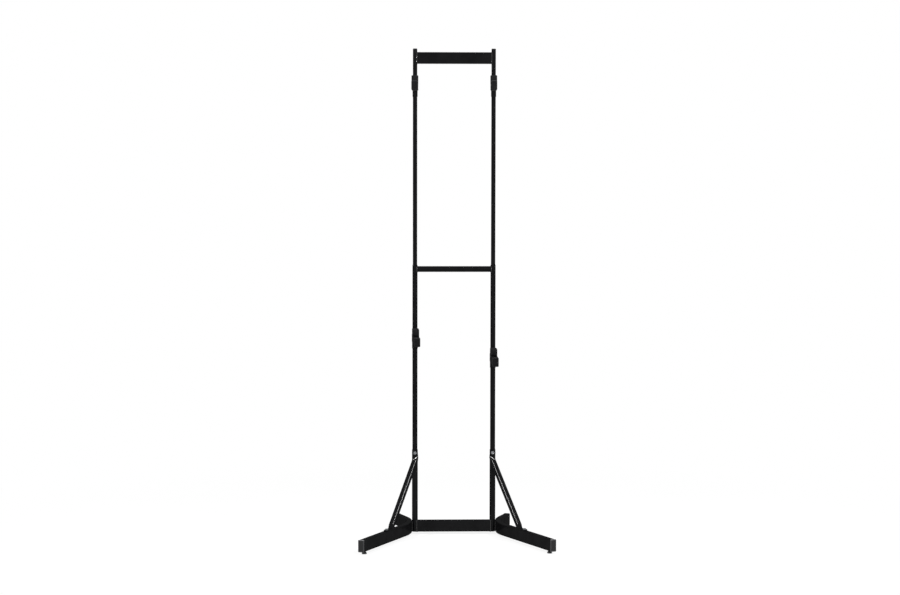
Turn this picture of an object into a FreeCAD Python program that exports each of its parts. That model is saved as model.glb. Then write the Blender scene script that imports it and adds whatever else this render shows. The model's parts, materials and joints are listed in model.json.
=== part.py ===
import FreeCAD, Part
import math
import os

import Sketcher
from FreeCAD import Placement, Rotation, Vector

# Two tier bike rack, free standing. X runs along the crossbars, Y from front to back, Z up.
# The origin lies on the floor, under the middle of the rack's own box.
# Every driving size is a row of this list, in millimetres or degrees, and is written nowhere else.
SIZES = (
    ("post_spacing", 342.9, "distance between the axes of the two posts"),
    ("crossbar_setback", 8.0, "from the axis of a post to the ends of the bars welded to it"),
    ("upper_post_radius", 9.525, "outside radius of the upper post tube"),
    ("post_wall", 1.5, "wall of every post tube and of what turns on it"),
    ("post_fit", 0.1, "radial clearance wherever one tube slides in or on another"),
    ("lower_post_top", 376.8, "floor to the top of the lower post tubes"),
    ("middle_post_top", 1193.0, "floor to the top of the middle post tubes"),
    ("upper_post_top", 2131.0, "floor to the top of the upper post tubes"),
    ("post_insert", 90.0, "how far each post tube reaches down into the next"),
    ("post_cap_rim", 6.0, "height of the post caps above their tubes"),
    ("post_cap_round", 2.5, "rounding of the upper edge of a post cap"),
    ("post_cap_plug", 14.0, "depth of the post cap inside the tube"),
    ("plug_fit", 0.15, "clearance of each cap plug in its tube"),
    ("base_height", 50.8, "height of the rectangular base tubes"),
    ("base_width", 25.4, "width of the rectangular base tubes"),
    ("base_wall", 1.6, "wall of the rectangular base tubes"),
    ("base_corner", 3.0, "outside corner radius of the rectangular tubes"),
    ("front_angle", 25.5, "angle of the long front arm of a leg to the Y axis"),
    ("rear_angle", 21.3, "angle of the short rear arm of a leg to the Y axis"),
    ("leg_bend_radius", 254.0, "centre line radius of the bend in a leg"),
    ("leg_set_forward", 6.6, "how far in front of the posts the bend's centre lies"),
    ("front_straight", 428.0, "straight part of the front arm, its cap included"),
    ("rear_straight", 88.0, "straight part of the rear arm, its cap included"),
    ("cap_rim", 3.0, "thickness of the rim of the tube end caps"),
    ("cap_lip", 1.0, "how far that rim stands proud of its tube all round"),
    ("cap_plug", 14.0, "depth of the end caps inside their tubes"),
    ("cap_round", 1.0, "rounding of the outer edge of the end caps"),
    ("crossbar_radius", 12.7, "outside radius of the middle crossbar"),
    ("crossbar_wall", 1.5, "wall of the middle crossbar"),
    ("crossbar_drop", 18.5, "from the top of the middle posts down to the axis of their crossbar"),
    ("plate_height", 50.8, "height of the top plate"),
    ("plate_depth", 12.7, "depth of the top plate, front to back"),
    ("plate_wall", 1.5, "wall of the top plate, which is a flat tube"),
    ("plate_drop", 9.6, "from the top of the upper post tubes down to the top plate"),
    ("brace_radius", 13.45, "outside radius of the brace tubes"),
    ("brace_wall", 1.5, "wall of the brace tubes"),
    ("brace_tab", 4.0, "thickness of the flattened brace ends"),
    ("brace_top_width", 25.0, "width of the upper flattened end"),
    ("brace_foot_width", 24.0, "width of the lower flattened end"),
    ("brace_bolt_drop", 13.3, "from the top of a lower post down to its brace bolt"),
    ("brace_bend_drop", 21.4, "from that bolt down to the fold where the brace bends away"),
    ("brace_fold_shift", 2.5, "how far inside the post axis the middle of that fold lies"),
    ("brace_inset", 5.0, "how far inside the post axis the brace's own axis meets the fold"),
    ("brace_foot_forward", 238.5, "from the post axes forward to the lower bend of the brace"),
    ("brace_foot_reach", 40.0, "from the lower bend of the brace to its bolt"),
    ("brace_swell", 17.0, "length over which the tube is pressed flat"),
    ("bolt_radius", 4.0, "radius of the M8 bolts and studs"),
    ("bolt_play", 0.3, "radial clearance of a bolt in its hole"),
    ("thread_play", 0.1, "radial clearance of a stud in its nut and pad"),
    ("hex_flats", 13.0, "width across flats of the M8 heads and nuts"),
    ("hex_half_side", 30.0, "angle from the middle of a hexagon's side to its corner"),
    ("head_height", 5.3, "height of the M8 bolt heads"),
    ("nut_height", 6.5, "height of the M8 nuts"),
    ("lock_nut_height", 4.0, "height of the thin nuts under the legs"),
    ("washer_radius", 7.5, "radius of the flange under each bolt head"),
    ("washer_height", 1.6, "thickness of that flange"),
    ("foot_bolt_length", 14.0, "shank of the bolts that hold the braces on the legs"),
    ("bolt_end", 3.0, "thread that shows past a nut"),
    ("front_foot_inset", 33.0, "from the front end of a leg back to its levelling foot"),
    ("rear_foot_inset", 26.0, "from the rear end of a leg forward to its levelling foot"),
    ("pad_height", 8.0, "height of the foot pads"),
    ("pad_radius", 11.0, "radius of the foot pads on the floor"),
    ("pad_top_radius", 9.5, "radius of the foot pads at the top"),
    ("pad_socket", 4.5, "depth of the socket for the stud in a foot pad"),
    ("stud_length", 30.0, "length of the levelling studs"),
    ("upper_left_drop", 176.3, "from the top of the upper posts down to the underside of that arm"),
    ("upper_right_drop", 175.5, "the same for the upper right arm"),
    ("lower_left_drop", 340.2, "from the top of the middle posts down to the underside of that arm"),
    ("lower_right_drop", 426.4, "the same for the lower right arm"),
    ("upper_left_angle", -1.4, "how far that arm stands turned from straight ahead"),
    ("upper_right_angle", -2.2, "the same for the upper right arm"),
    ("lower_left_angle", 1.5, "the same for the lower left arm"),
    ("lower_right_angle", 0.3, "the same for the lower right arm"),
    ("arm_reach", 225.0, "from the post axis to the front of an arm, its cap included"),
    ("arm_width", 25.4, "width of the arm bars"),
    ("arm_height", 38.1, "height of the arm bars"),
    ("arm_wall", 1.6, "wall of the arm bars"),
    ("arm_corner", 2.5, "outside corner radius of the arm bars"),
    ("sleeve_height", 52.0, "height of the sleeve that turns on the post"),
    ("collar_height", 27.5, "height of the collar that carries the sleeve"),
    ("boss_width", 14.0, "width of the block behind the collar"),
    ("boss_depth", 9.0, "how far that block stands out behind the collar"),
    ("boss_height", 16.0, "height of that block"),
    ("clamp_radius", 3.0, "radius of the M6 clamp screws"),
    ("clamp_head_radius", 5.0, "radius of the clamp screw heads"),
    ("clamp_head_height", 6.0, "height of the clamp screw heads"),
    ("clamp_socket", 5.0, "width across flats of the hexagon socket in those heads"),
    ("clamp_socket_depth", 3.5, "depth of that socket"),
    ("clamp_gap", 1.5, "between a clamp screw's head and its block"),
    ("cradle_front", 98.0, "from the post axis to the front of a cradle's lip"),
    ("cradle_length", 64.0, "length of a cradle along its arm"),
    ("cradle_width", 29.0, "width of the rubber cradles"),
    ("cradle_rise", 26.0, "height of the cradles above their bars"),
    ("cradle_seat", 12.5, "thickness of the rubber under a bicycle's tube"),
    ("cradle_skirt", 10.0, "how far the rubber grips down the sides of the bar"),
    ("seat_radius", 19.0, "radius of the round seat in a cradle"),
    ("skirt_fit", 0.2, "clearance between rubber skirt and bar"),
    ("cradle_round", 2.0, "rounding of the cradles' outer corners"),
    ("lock_screw_drop", 40.0, "from the top of a middle post down to its locking screw"),
)


class Size:
    """A length or angle that holds both its number and its working from the sheet."""

    def __init__(self, text, value):
        self.text = text
        self.value = value

    def joined(self, sign, other, value):
        return Size(f"({self.text} {sign} {as_size(other).text})", value)

    def __add__(self, other):
        return self.joined("+", other, self.value + as_size(other).value)

    def __sub__(self, other):
        return self.joined("-", other, self.value - as_size(other).value)

    def __mul__(self, other):
        return self.joined("*", other, self.value * as_size(other).value)

    def __truediv__(self, other):
        return self.joined("/", other, self.value / as_size(other).value)

    def __neg__(self):
        return Size(f"(0 - {self.text})", -self.value)


def as_size(thing):
    return thing if isinstance(thing, Size) else Size(repr(float(thing)), float(thing))


def sine(angle):
    return Size(f"sin({angle.text} * 1 deg)", math.sin(math.radians(angle.value)))


def cosine(angle):
    return Size(f"cos({angle.text} * 1 deg)", math.cos(math.radians(angle.value)))


def root(size):
    return Size(f"sqrt({size.text})", math.sqrt(size.value))


doc = FreeCAD.newDocument("TwoTierRack")
sheet = doc.addObject("Spreadsheet::Sheet", "Sizes")
for row, (alias, number, meaning) in enumerate(SIZES, start=1):
    sheet.set(f"A{row}", meaning)
    sheet.set(f"B{row}", str(number))
    sheet.setAlias(f"B{row}", alias)
doc.recompute()
size = {alias: Size(f"Sizes.{alias}", float(sheet.get(alias))) for alias, number, meaning in SIZES}

# Sizes that follow from the driving ones
UPPER_R = size["upper_post_radius"]
MIDDLE_R = UPPER_R + size["post_fit"] + size["post_wall"]
LOWER_R = MIDDLE_R + size["post_fit"] + size["post_wall"]
POST_X = size["post_spacing"] / 2
LEG_BOTTOM = size["pad_height"] + size["lock_nut_height"]
LEG_MIDDLE = LEG_BOTTOM + size["base_height"] / 2
LEG_TOP = LEG_BOTTOM + size["base_height"]
FRONT = size["front_angle"]
REAR = size["rear_angle"]
BEND_R = size["leg_bend_radius"]

# The inner side of the bend touches the outer side of the post, so the bend's centre follows from both.
TOUCH = BEND_R + size["base_width"] / 2 + LOWER_R
BEND_X = POST_X + root(TOUCH * TOUCH - size["leg_set_forward"] * size["leg_set_forward"])

# Distances from the line of the posts to the front and rear ends of a leg, cap included
FRONT_REACH = size["leg_set_forward"] + BEND_R * sine(FRONT) + size["front_straight"] * cosine(FRONT)
REAR_REACH = BEND_R * sine(REAR) + size["rear_straight"] * cosine(REAR) - size["leg_set_forward"]
CAP_HALF = size["base_width"] / 2 + size["cap_lip"]
FRONT_CORNER = FRONT_REACH + CAP_HALF * sine(FRONT)
REAR_CORNER = REAR_REACH + CAP_HALF * sine(REAR)
POST_Y = (FRONT_CORNER - REAR_CORNER) / 2
FRONT_X = BEND_X - BEND_R * cosine(FRONT) + size["front_straight"] * sine(FRONT)
REAR_X = BEND_X - BEND_R * cosine(REAR) + size["rear_straight"] * sine(REAR)
UP = Vector(0, 0, 1)
parts = {}


def bind(thing, prop, value):
    """Ties one property of an object to the sheet."""
    thing.setExpression(prop, as_size(value).text)


def place(thing, x, y, z, rotation=None):
    """Puts an object where the sizes say, turned by a fixed rotation."""
    thing.Placement = Placement(Vector(as_size(x).value, as_size(y).value, as_size(z).value),
                                rotation or Rotation())
    bind(thing, "Placement.Base.x", x)
    bind(thing, "Placement.Base.y", y)
    bind(thing, "Placement.Base.z", z)


def keep(name, thing):
    """Names a finished sub-part, which is written to a file of the same name."""
    thing.Label = name
    parts[name] = thing
    return thing


def new_body(name):
    return keep(name, doc.addObject("PartDesign::Body", name + "_body"))


def new_sketch(body, role, lift=None):
    """A sketch on one of the body's own origin planes, raised along the plane's normal."""
    sketch = body.newObject("Sketcher::SketchObject", body.Name + "_sketch")
    plane = next(item for item in body.Origin.OriginFeatures if item.Role == role)
    sketch.AttachmentSupport = [(plane, "")]
    sketch.MapMode = "FlatFace"
    if lift is not None:
        bind(sketch, "AttachmentOffset.Base.z", lift)
    return sketch


def dimension(sketch, name, value, *constraint):
    """Adds a driving dimension to a sketch and ties it to the sheet."""
    index = sketch.addConstraint(Sketcher.Constraint(*constraint, as_size(value).value))
    sketch.renameConstraint(index, name)
    bind(sketch, "Constraints." + name, value)


def circle(sketch, radius, across=None, along=None):
    """A circle about the sketch's origin, or moved from it along its two axes."""
    across_value = as_size(across).value if across is not None else 0.0
    along_value = as_size(along).value if along is not None else 0.0
    centre = Vector(across_value, along_value, 0)
    index = sketch.addGeometry(Part.Circle(centre, UP, as_size(radius).value), False)
    dimension(sketch, f"radius{index}", radius, "Radius", index)
    if across is None and along is None:
        sketch.addConstraint(Sketcher.Constraint("Coincident", index, 3, -1, 1))
        return
    if across is None:
        sketch.addConstraint(Sketcher.Constraint("PointOnObject", index, 3, -2))
    else:
        dimension(sketch, f"across{index}", across, "DistanceX", -1, 1, index, 3)
    if along is None:
        sketch.addConstraint(Sketcher.Constraint("PointOnObject", index, 3, -1))
    else:
        dimension(sketch, f"along{index}", along, "DistanceY", -1, 1, index, 3)


def rounded_rectangle(sketch, width, height, corner):
    """A rectangle with rounded corners, centred on the sketch's origin."""
    half_w = as_size(width).value / 2
    half_h = as_size(height).value / 2
    r = as_size(corner).value
    first = len(sketch.Geometry)
    ends = ((-half_w + r, -half_h, half_w - r, -half_h), (half_w, -half_h + r, half_w, half_h - r),
            (half_w - r, half_h, -half_w + r, half_h), (-half_w, half_h - r, -half_w, -half_h + r))
    for x0, y0, x1, y1 in ends:
        sketch.addGeometry(Part.LineSegment(Vector(x0, y0, 0), Vector(x1, y1, 0)), False)
    centres = ((half_w - r, -half_h + r), (half_w - r, half_h - r),
               (-half_w + r, half_h - r), (-half_w + r, -half_h + r))
    for quarter, (x, y) in enumerate(centres):
        start = math.radians(90 * quarter - 90)
        arc = Part.ArcOfCircle(Part.Circle(Vector(x, y, 0), UP, r), start, start + math.pi / 2)
        sketch.addGeometry(arc, False)
    for side in range(4):
        line = first + side
        arc = first + 4 + side
        sketch.addConstraint(Sketcher.Constraint("Horizontal" if side % 2 == 0 else "Vertical", line))
        sketch.addConstraint(Sketcher.Constraint("Tangent", line, 2, arc, 1))
        sketch.addConstraint(Sketcher.Constraint("Tangent", arc, 2, first + (side + 1) % 4, 1))
        if side:
            sketch.addConstraint(Sketcher.Constraint("Equal", first + 4, arc))
    sketch.addConstraint(Sketcher.Constraint("Symmetric", first + 4, 3, first + 6, 3, -1, 1))
    dimension(sketch, f"corner{first}", corner, "Radius", first + 4)
    dimension(sketch, f"width{first}", width, "DistanceX", first + 3, 1, first + 1, 2)
    dimension(sketch, f"height{first}", height, "DistanceY", first, 1, first + 2, 2)


def polygon(sketch, points):
    """A closed outline of straight sides through points that are pairs of sizes."""
    first = len(sketch.Geometry)
    count = len(points)
    values = [Vector(as_size(x).value, as_size(y).value, 0) for x, y in points]
    for index in range(count):
        sketch.addGeometry(Part.LineSegment(values[index], values[(index + 1) % count]), False)
    for index in range(count):
        following = first + (index + 1) % count
        sketch.addConstraint(Sketcher.Constraint("Coincident", first + index, 2, following, 1))
        for axis, value in zip("XY", points[index]):
            if abs(as_size(value).value) < 1e-9:
                line = -2 if axis == "X" else -1
                sketch.addConstraint(Sketcher.Constraint("PointOnObject", first + index, 1, line))
            else:
                name = f"point{index}{axis}"
                dimension(sketch, name, value, "Distance" + axis, -1, 1, first + index, 1)


def pad(body, sketch, length, middle=False, reverse=False):
    feature = body.newObject("PartDesign::Pad", body.Name + "_pad")
    feature.Profile = sketch
    bind(feature, "Length", length)
    feature.Midplane = middle
    feature.Reversed = reverse
    sketch.Visibility = False
    return feature


def pocket(body, sketch, length=None, middle=False, reverse=False):
    """A cut of the given length, or right through, which has to take something away."""
    doc.recompute()
    before = body.Shape.Volume
    feature = body.newObject("PartDesign::Pocket", body.Name + "_pocket")
    feature.Profile = sketch
    if length is None:
        feature.Type = "ThroughAll"
    else:
        bind(feature, "Length", length)
    feature.Midplane = middle
    feature.Reversed = reverse
    doc.recompute()
    if not body.Shape.Volume < before:
        raise ValueError(f"{body.Label}: a cut took nothing away")
    return feature


def round_edges(body, radius, wanted):
    """Rounds the edges of the body's present shape that a test picks out."""
    doc.recompute()
    sharp = body.Tip
    names = [f"Edge{number}" for number, edge in enumerate(sharp.Shape.Edges, start=1) if wanted(edge)]
    feature = body.newObject("PartDesign::Fillet", body.Name + "_round")
    feature.Base = (sharp, names)
    bind(feature, "Radius", radius)
    return feature


def round_tube(name, outer, inner, length):
    """A round tube that stands on the body's own XY plane."""
    body = new_body(name)
    sketch = new_sketch(body, "XY_Plane")
    circle(sketch, outer)
    circle(sketch, inner)
    pad(body, sketch, length)
    return body


def cross_hole(body, radius, height):
    """A hole from front to back through a standing tube."""
    sketch = new_sketch(body, "XZ_Plane")
    circle(sketch, radius, along=height)
    pocket(body, sketch, middle=True)


def cope_ends(body, radius):
    """Hollows both ends of a crosswise bar so that they sit against the posts."""
    sketch = new_sketch(body, "XY_Plane")
    circle(sketch, radius, across=POST_X)
    circle(sketch, radius, across=-POST_X)
    pocket(body, sketch, middle=True)


BOLT_HOLE = size["bolt_radius"] + size["bolt_play"]
BOLT_HEIGHT = size["lower_post_top"] - size["brace_bolt_drop"]
LOCK_HOLE = size["clamp_radius"] + size["bolt_play"]
LOCK_HEIGHT = size["middle_post_top"] - size["lock_screw_drop"]
CROSSBAR_HEIGHT = size["middle_post_top"] - size["crossbar_drop"]


def make_posts():
    """Three tubes a side, each slid down into the wider one below it, and a plastic cap on top."""
    middle_start = size["lower_post_top"] - size["post_insert"]
    upper_start = size["middle_post_top"] - size["post_insert"]
    for side, sign in (("left", -1), ("right", 1)):
        lower = round_tube(f"{side}_lower_post", LOWER_R, MIDDLE_R + size["post_fit"],
                           size["lower_post_top"] - LEG_BOTTOM)
        cross_hole(lower, BOLT_HOLE, BOLT_HEIGHT - LEG_BOTTOM)
        place(lower, POST_X * sign, POST_Y, LEG_BOTTOM)
        middle = round_tube(f"{side}_middle_post", MIDDLE_R, UPPER_R + size["post_fit"],
                            size["middle_post_top"] - middle_start)
        cross_hole(middle, BOLT_HOLE, BOLT_HEIGHT - middle_start)
        cross_hole(middle, LOCK_HOLE, LOCK_HEIGHT - middle_start)
        place(middle, POST_X * sign, POST_Y, middle_start)
        upper = round_tube(f"{side}_upper_post", UPPER_R, UPPER_R - size["post_wall"],
                           size["upper_post_top"] - upper_start)
        cross_hole(upper, LOCK_HOLE, LOCK_HEIGHT - upper_start)
        place(upper, POST_X * sign, POST_Y, upper_start)
        make_post_cap(f"{side}_post_cap", sign)


def make_post_cap(name, sign):
    body = new_body(name)
    rim = new_sketch(body, "XY_Plane")
    circle(rim, UPPER_R)
    pad(body, rim, size["post_cap_rim"])
    half_rim = size["post_cap_rim"].value / 2
    round_edges(body, size["post_cap_round"], lambda edge: edge.BoundBox.ZMin > half_rim)
    plug = new_sketch(body, "XY_Plane")
    circle(plug, UPPER_R - size["post_wall"] - size["plug_fit"])
    pad(body, plug, size["post_cap_plug"], reverse=True)
    place(body, POST_X * sign, POST_Y, size["upper_post_top"])


def base_section(sketch):
    """The section of the rectangular base tubes, wall and all."""
    rounded_rectangle(sketch, size["base_width"], size["base_height"], size["base_corner"])
    inner_width = size["base_width"] - size["base_wall"] * 2
    inner_height = size["base_height"] - size["base_wall"] * 2
    rounded_rectangle(sketch, inner_width, inner_height, size["base_corner"] - size["base_wall"])


def make_crossbars():
    """The base tube, the round middle bar and the flat tube at the top, all between the posts."""
    length = size["post_spacing"] - size["crossbar_setback"] * 2
    base = new_body("base_crossbar")
    outline = new_sketch(base, "YZ_Plane")
    base_section(outline)
    pad(base, outline, length, middle=True)
    cope_ends(base, LOWER_R)
    place(base, 0, POST_Y, LEG_MIDDLE)

    middle = new_body("middle_crossbar")
    outline = new_sketch(middle, "YZ_Plane")
    circle(outline, size["crossbar_radius"])
    circle(outline, size["crossbar_radius"] - size["crossbar_wall"])
    pad(middle, outline, length, middle=True)
    cope_ends(middle, MIDDLE_R)
    place(middle, 0, POST_Y, CROSSBAR_HEIGHT)

    top = new_body("top_plate")
    outline = new_sketch(top, "YZ_Plane")
    rounded_rectangle(outline, size["plate_depth"], size["plate_height"], size["base_corner"])
    inner_depth = size["plate_depth"] - size["plate_wall"] * 2
    inner_height = size["plate_height"] - size["plate_wall"] * 2
    rounded_rectangle(outline, inner_depth, inner_height, size["base_corner"] - size["plate_wall"])
    pad(top, outline, length, middle=True)
    cope_ends(top, UPPER_R)
    place(top, 0, POST_Y, size["upper_post_top"] - size["plate_drop"] - size["plate_height"] / 2)


def leg_point(sign, end, back):
    """A point on a leg's centre line, a distance back from the very end of one of its arms."""
    angle = FRONT if end == "front" else REAR
    ahead = -1 if end == "front" else 1
    start_x = FRONT_X if end == "front" else REAR_X
    reach = FRONT_REACH if end == "front" else REAR_REACH
    return (start_x - back * sine(angle)) * sign, POST_Y + (reach - back * cosine(angle)) * ahead


def leg_turn(sign, end):
    """Turn about Z that points the local Y axis from that end of a leg back along its arm."""
    if end == "front":
        return Rotation(UP, FRONT.value * sign)
    return Rotation(UP, 180 - REAR.value * sign)


def make_leg(side, sign):
    """One rectangular tube, bent once in the middle, with holes for its two feet and its brace."""
    body = new_body(f"{side}_leg")
    straight = size["front_straight"] - size["cap_rim"]
    turn = FRONT + REAR
    path = new_sketch(body, "XY_Plane")
    a = straight.value
    r = BEND_R.value
    swing = math.radians(turn.value)
    path.addGeometry(Part.LineSegment(Vector(0, 0, 0), Vector(0, a, 0)), False)
    hub = Vector(r * sign, a, 0)
    bend_end = hub + Vector(-r * sign * math.cos(swing), r * math.sin(swing), 0)
    if sign > 0:
        arc = Part.ArcOfCircle(Part.Circle(hub, UP, r), math.pi - swing, math.pi)
    else:
        arc = Part.ArcOfCircle(Part.Circle(hub, UP, r), 0, swing)
    path.addGeometry(arc, False)
    b = (size["rear_straight"] - size["cap_rim"]).value
    tail = bend_end + Vector(sign * math.sin(swing), math.cos(swing), 0) * b
    path.addGeometry(Part.LineSegment(bend_end, tail), False)
    near, far = (2, 1) if sign > 0 else (1, 2)
    path.addConstraint(Sketcher.Constraint("Coincident", 0, 1, -1, 1))
    path.addConstraint(Sketcher.Constraint("Vertical", 0))
    path.addConstraint(Sketcher.Constraint("Tangent", 0, 2, 1, near))
    path.addConstraint(Sketcher.Constraint("Tangent", 1, far, 2, 1))
    dimension(path, "straight", straight, "DistanceY", 0, 1, 0, 2)
    dimension(path, "bend", BEND_R, "Radius", 1)
    dimension(path, "tail", size["rear_straight"] - size["cap_rim"], "Distance", 2)
    dimension(path, "sweep", BEND_R * sine(turn), "DistanceY", 1, near, 1, far)

    section = new_sketch(body, "XZ_Plane")
    base_section(section)
    pipe = body.newObject("PartDesign::AdditivePipe", body.Name + "_pipe")
    pipe.Profile = section
    pipe.Spine = (path, ["Edge1", "Edge2", "Edge3"])

    underside = new_sketch(body, "XY_Plane")
    for end in ("front", "rear"):
        leg_hole(underside, sign, leg_point(sign, end, size[f"{end}_foot_inset"]))
    pocket(body, underside, size["base_height"] / 2)
    top = new_sketch(body, "XY_Plane")
    leg_hole(top, sign, brace_bolt(sign))
    pocket(body, top, size["base_height"] / 2, reverse=True)
    start_x, start_y = leg_point(sign, "front", size["cap_rim"])
    place(body, start_x, start_y, LEG_MIDDLE, leg_turn(sign, "front"))


def leg_hole(sketch, sign, point):
    """A bolt hole at a point of the whole rack, seen from the front end of a leg's tube."""
    start_x, start_y = leg_point(sign, "front", size["cap_rim"])
    over = point[0] - start_x
    back = point[1] - start_y
    across = over * cosine(FRONT) + back * sine(FRONT) * sign
    along = back * cosine(FRONT) - over * sine(FRONT) * sign
    circle(sketch, BOLT_HOLE, across=across, along=along)


def brace_bend(sign):
    """Where a brace bends to lie flat on its leg, on the centre line of the leg's front arm."""
    back = (FRONT_REACH - size["brace_foot_forward"]) / cosine(FRONT)
    return leg_point(sign, "front", back)


def brace_bolt(sign):
    back = (FRONT_REACH - size["brace_foot_forward"]) / cosine(FRONT) - size["brace_foot_reach"]
    return leg_point(sign, "front", back)


def capped_end(name, width, height, wall, corner):
    """A plastic end cap: a rim a little larger than the tube, and behind it a hollow plug."""
    body = new_body(name)
    rim = new_sketch(body, "XZ_Plane")
    proud = size["cap_lip"] * 2
    rounded_rectangle(rim, width + proud, height + proud, corner + size["cap_lip"])
    pad(body, rim, size["cap_rim"])
    front = -size["cap_rim"].value
    round_edges(body, size["cap_round"], lambda edge: edge.BoundBox.YMax < front / 2)
    shrink = (wall + size["plug_fit"]) * 2
    plug = new_sketch(body, "XZ_Plane")
    rounded_rectangle(plug, width - shrink, height - shrink, corner - wall - size["plug_fit"])
    pad(body, plug, size["cap_plug"], reverse=True)
    hollow = new_sketch(body, "XZ_Plane", -size["cap_plug"])
    core = shrink + wall * 2
    rounded_rectangle(hollow, width - core, height - core, (corner - wall - size["plug_fit"]) / 2)
    pocket(body, hollow, size["cap_plug"] - wall, reverse=True)
    return body


def make_leg_caps(side, sign):
    for end in ("front", "rear"):
        cap = capped_end(f"{side}_{end}_leg_cap", size["base_width"], size["base_height"],
                         size["base_wall"], size["base_corner"])
        x, y = leg_point(sign, end, size["cap_rim"])
        place(cap, x, y, LEG_MIDDLE, leg_turn(sign, end))


def make_feet(side, sign):
    """A threaded stud that turns in a nylon pad, under each end of a leg."""
    for end in ("front", "rear"):
        x, y = leg_point(sign, end, size[f"{end}_foot_inset"])
        pad_shape = doc.addObject("Part::Cone", "PadCone")
        bind(pad_shape, "Radius1", size["pad_radius"])
        bind(pad_shape, "Radius2", size["pad_top_radius"])
        bind(pad_shape, "Height", size["pad_height"])
        socket = doc.addObject("Part::Cylinder", "PadSocket")
        bind(socket, "Radius", size["bolt_radius"] + size["thread_play"])
        bind(socket, "Height", size["pad_socket"])
        bind(socket, "Placement.Base.z", size["pad_height"] - size["pad_socket"])
        foot = doc.addObject("Part::Cut", "FootPad")
        foot.Base = pad_shape
        foot.Tool = socket
        place(keep(f"{side}_{end}_foot_pad", foot), x, y, 0)
        stud = doc.addObject("Part::Cylinder", "Stud")
        bind(stud, "Radius", size["bolt_radius"])
        bind(stud, "Height", size["stud_length"])
        place(keep(f"{side}_{end}_foot_stud", stud), x, y, size["pad_height"] - size["pad_socket"])


def prism(flats, height):
    """A hexagonal prism along Z, sized across its flats."""
    shape = doc.addObject("Part::Prism", "Hexagon")
    shape.Polygon = 6
    bind(shape, "Circumradius", flats / (cosine(size["hex_half_side"]) * 2))
    bind(shape, "Height", height)
    return shape


def nut(height, x, y, z, rotation=None):
    """A nut along Z with a plain bore."""
    bore = doc.addObject("Part::Cylinder", "Bore")
    bind(bore, "Radius", size["bolt_radius"] + size["thread_play"])
    bind(bore, "Height", height)
    shape = doc.addObject("Part::Cut", "Nut")
    shape.Base = prism(size["hex_flats"], height)
    shape.Tool = bore
    place(shape, x, y, z, rotation)
    return shape


def bolt(length, x, y, z, rotation=None):
    """A hexagon bolt with a flange, head above the XY plane and shank below it."""
    flange = doc.addObject("Part::Cylinder", "Flange")
    bind(flange, "Radius", size["washer_radius"])
    bind(flange, "Height", size["washer_height"])
    head = prism(size["hex_flats"], size["head_height"])
    shank = doc.addObject("Part::Cylinder", "Shank")
    bind(shank, "Radius", size["bolt_radius"])
    bind(shank, "Height", as_size(length))
    bind(shank, "Placement.Base.z", -as_size(length))
    shape = doc.addObject("Part::MultiFuse", "Bolt")
    shape.Shapes = [flange, head, shank]
    place(shape, x, y, z, rotation)
    return shape


def group(name, members):
    compound = doc.addObject("Part::Compound", name + "_group")
    compound.Links = members
    return keep(name, compound)


TO_FRONT = Rotation(Vector(1, 0, 0), 90)
TO_BACK = Rotation(Vector(1, 0, 0), -90)


def make_fasteners():
    """Bolts of the braces, every M8 nut, the thin nuts under the legs and the post locking screws."""
    top_bolts = []
    foot_bolts = []
    nuts = []
    lock_nuts = []
    screws = []
    bolt_y = POST_Y - LOWER_R - size["brace_tab"]
    nut_y = POST_Y + LOWER_R
    through = size["brace_tab"] + LOWER_R * 2 + size["nut_height"] + size["bolt_end"]
    for sign in (-1, 1):
        top_bolts.append(bolt(through, POST_X * sign, bolt_y, BOLT_HEIGHT, TO_FRONT))
        nuts.append(nut(size["nut_height"], POST_X * sign, nut_y, BOLT_HEIGHT, TO_BACK))
        x, y = brace_bolt(sign)
        foot_bolts.append(bolt(size["foot_bolt_length"], x, y, LEG_TOP + size["brace_tab"]))
        nuts.append(nut(size["nut_height"], x, y, LEG_TOP - size["base_wall"] - size["nut_height"]))
        for end in ("front", "rear"):
            x, y = leg_point(sign, end, size[f"{end}_foot_inset"])
            nuts.append(nut(size["nut_height"], x, y, LEG_BOTTOM + size["base_wall"]))
            lock_nuts.append(nut(size["lock_nut_height"], x, y, size["pad_height"]))
        inward = MIDDLE_R + size["post_wall"]
        screws.append(socket_screw(inward, POST_X * sign, POST_Y + MIDDLE_R, LOCK_HEIGHT))
    group("brace_top_bolts", top_bolts)
    group("brace_foot_bolts", foot_bolts)
    group("m8_nuts", nuts)
    group("foot_lock_nuts", lock_nuts)
    group("post_lock_screws", screws)


def socket_screw(length, x, y, z):
    """A socket head screw that points forward, its head to the rear."""
    head = doc.addObject("Part::Cylinder", "Head")
    bind(head, "Radius", size["clamp_head_radius"])
    bind(head, "Height", size["clamp_head_height"])
    shank = doc.addObject("Part::Cylinder", "Shank")
    bind(shank, "Radius", size["clamp_radius"])
    bind(shank, "Height", length)
    bind(shank, "Placement.Base.z", -length)
    whole = doc.addObject("Part::Fuse", "Screw")
    whole.Base = head
    whole.Tool = shank
    socket = prism(size["clamp_socket"], size["clamp_socket_depth"])
    bind(socket, "Placement.Base.z", size["clamp_head_height"] - size["clamp_socket_depth"])
    shape = doc.addObject("Part::Cut", "SocketScrew")
    shape.Base = whole
    shape.Tool = socket
    place(shape, x, y, z, TO_BACK)
    return shape


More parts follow.
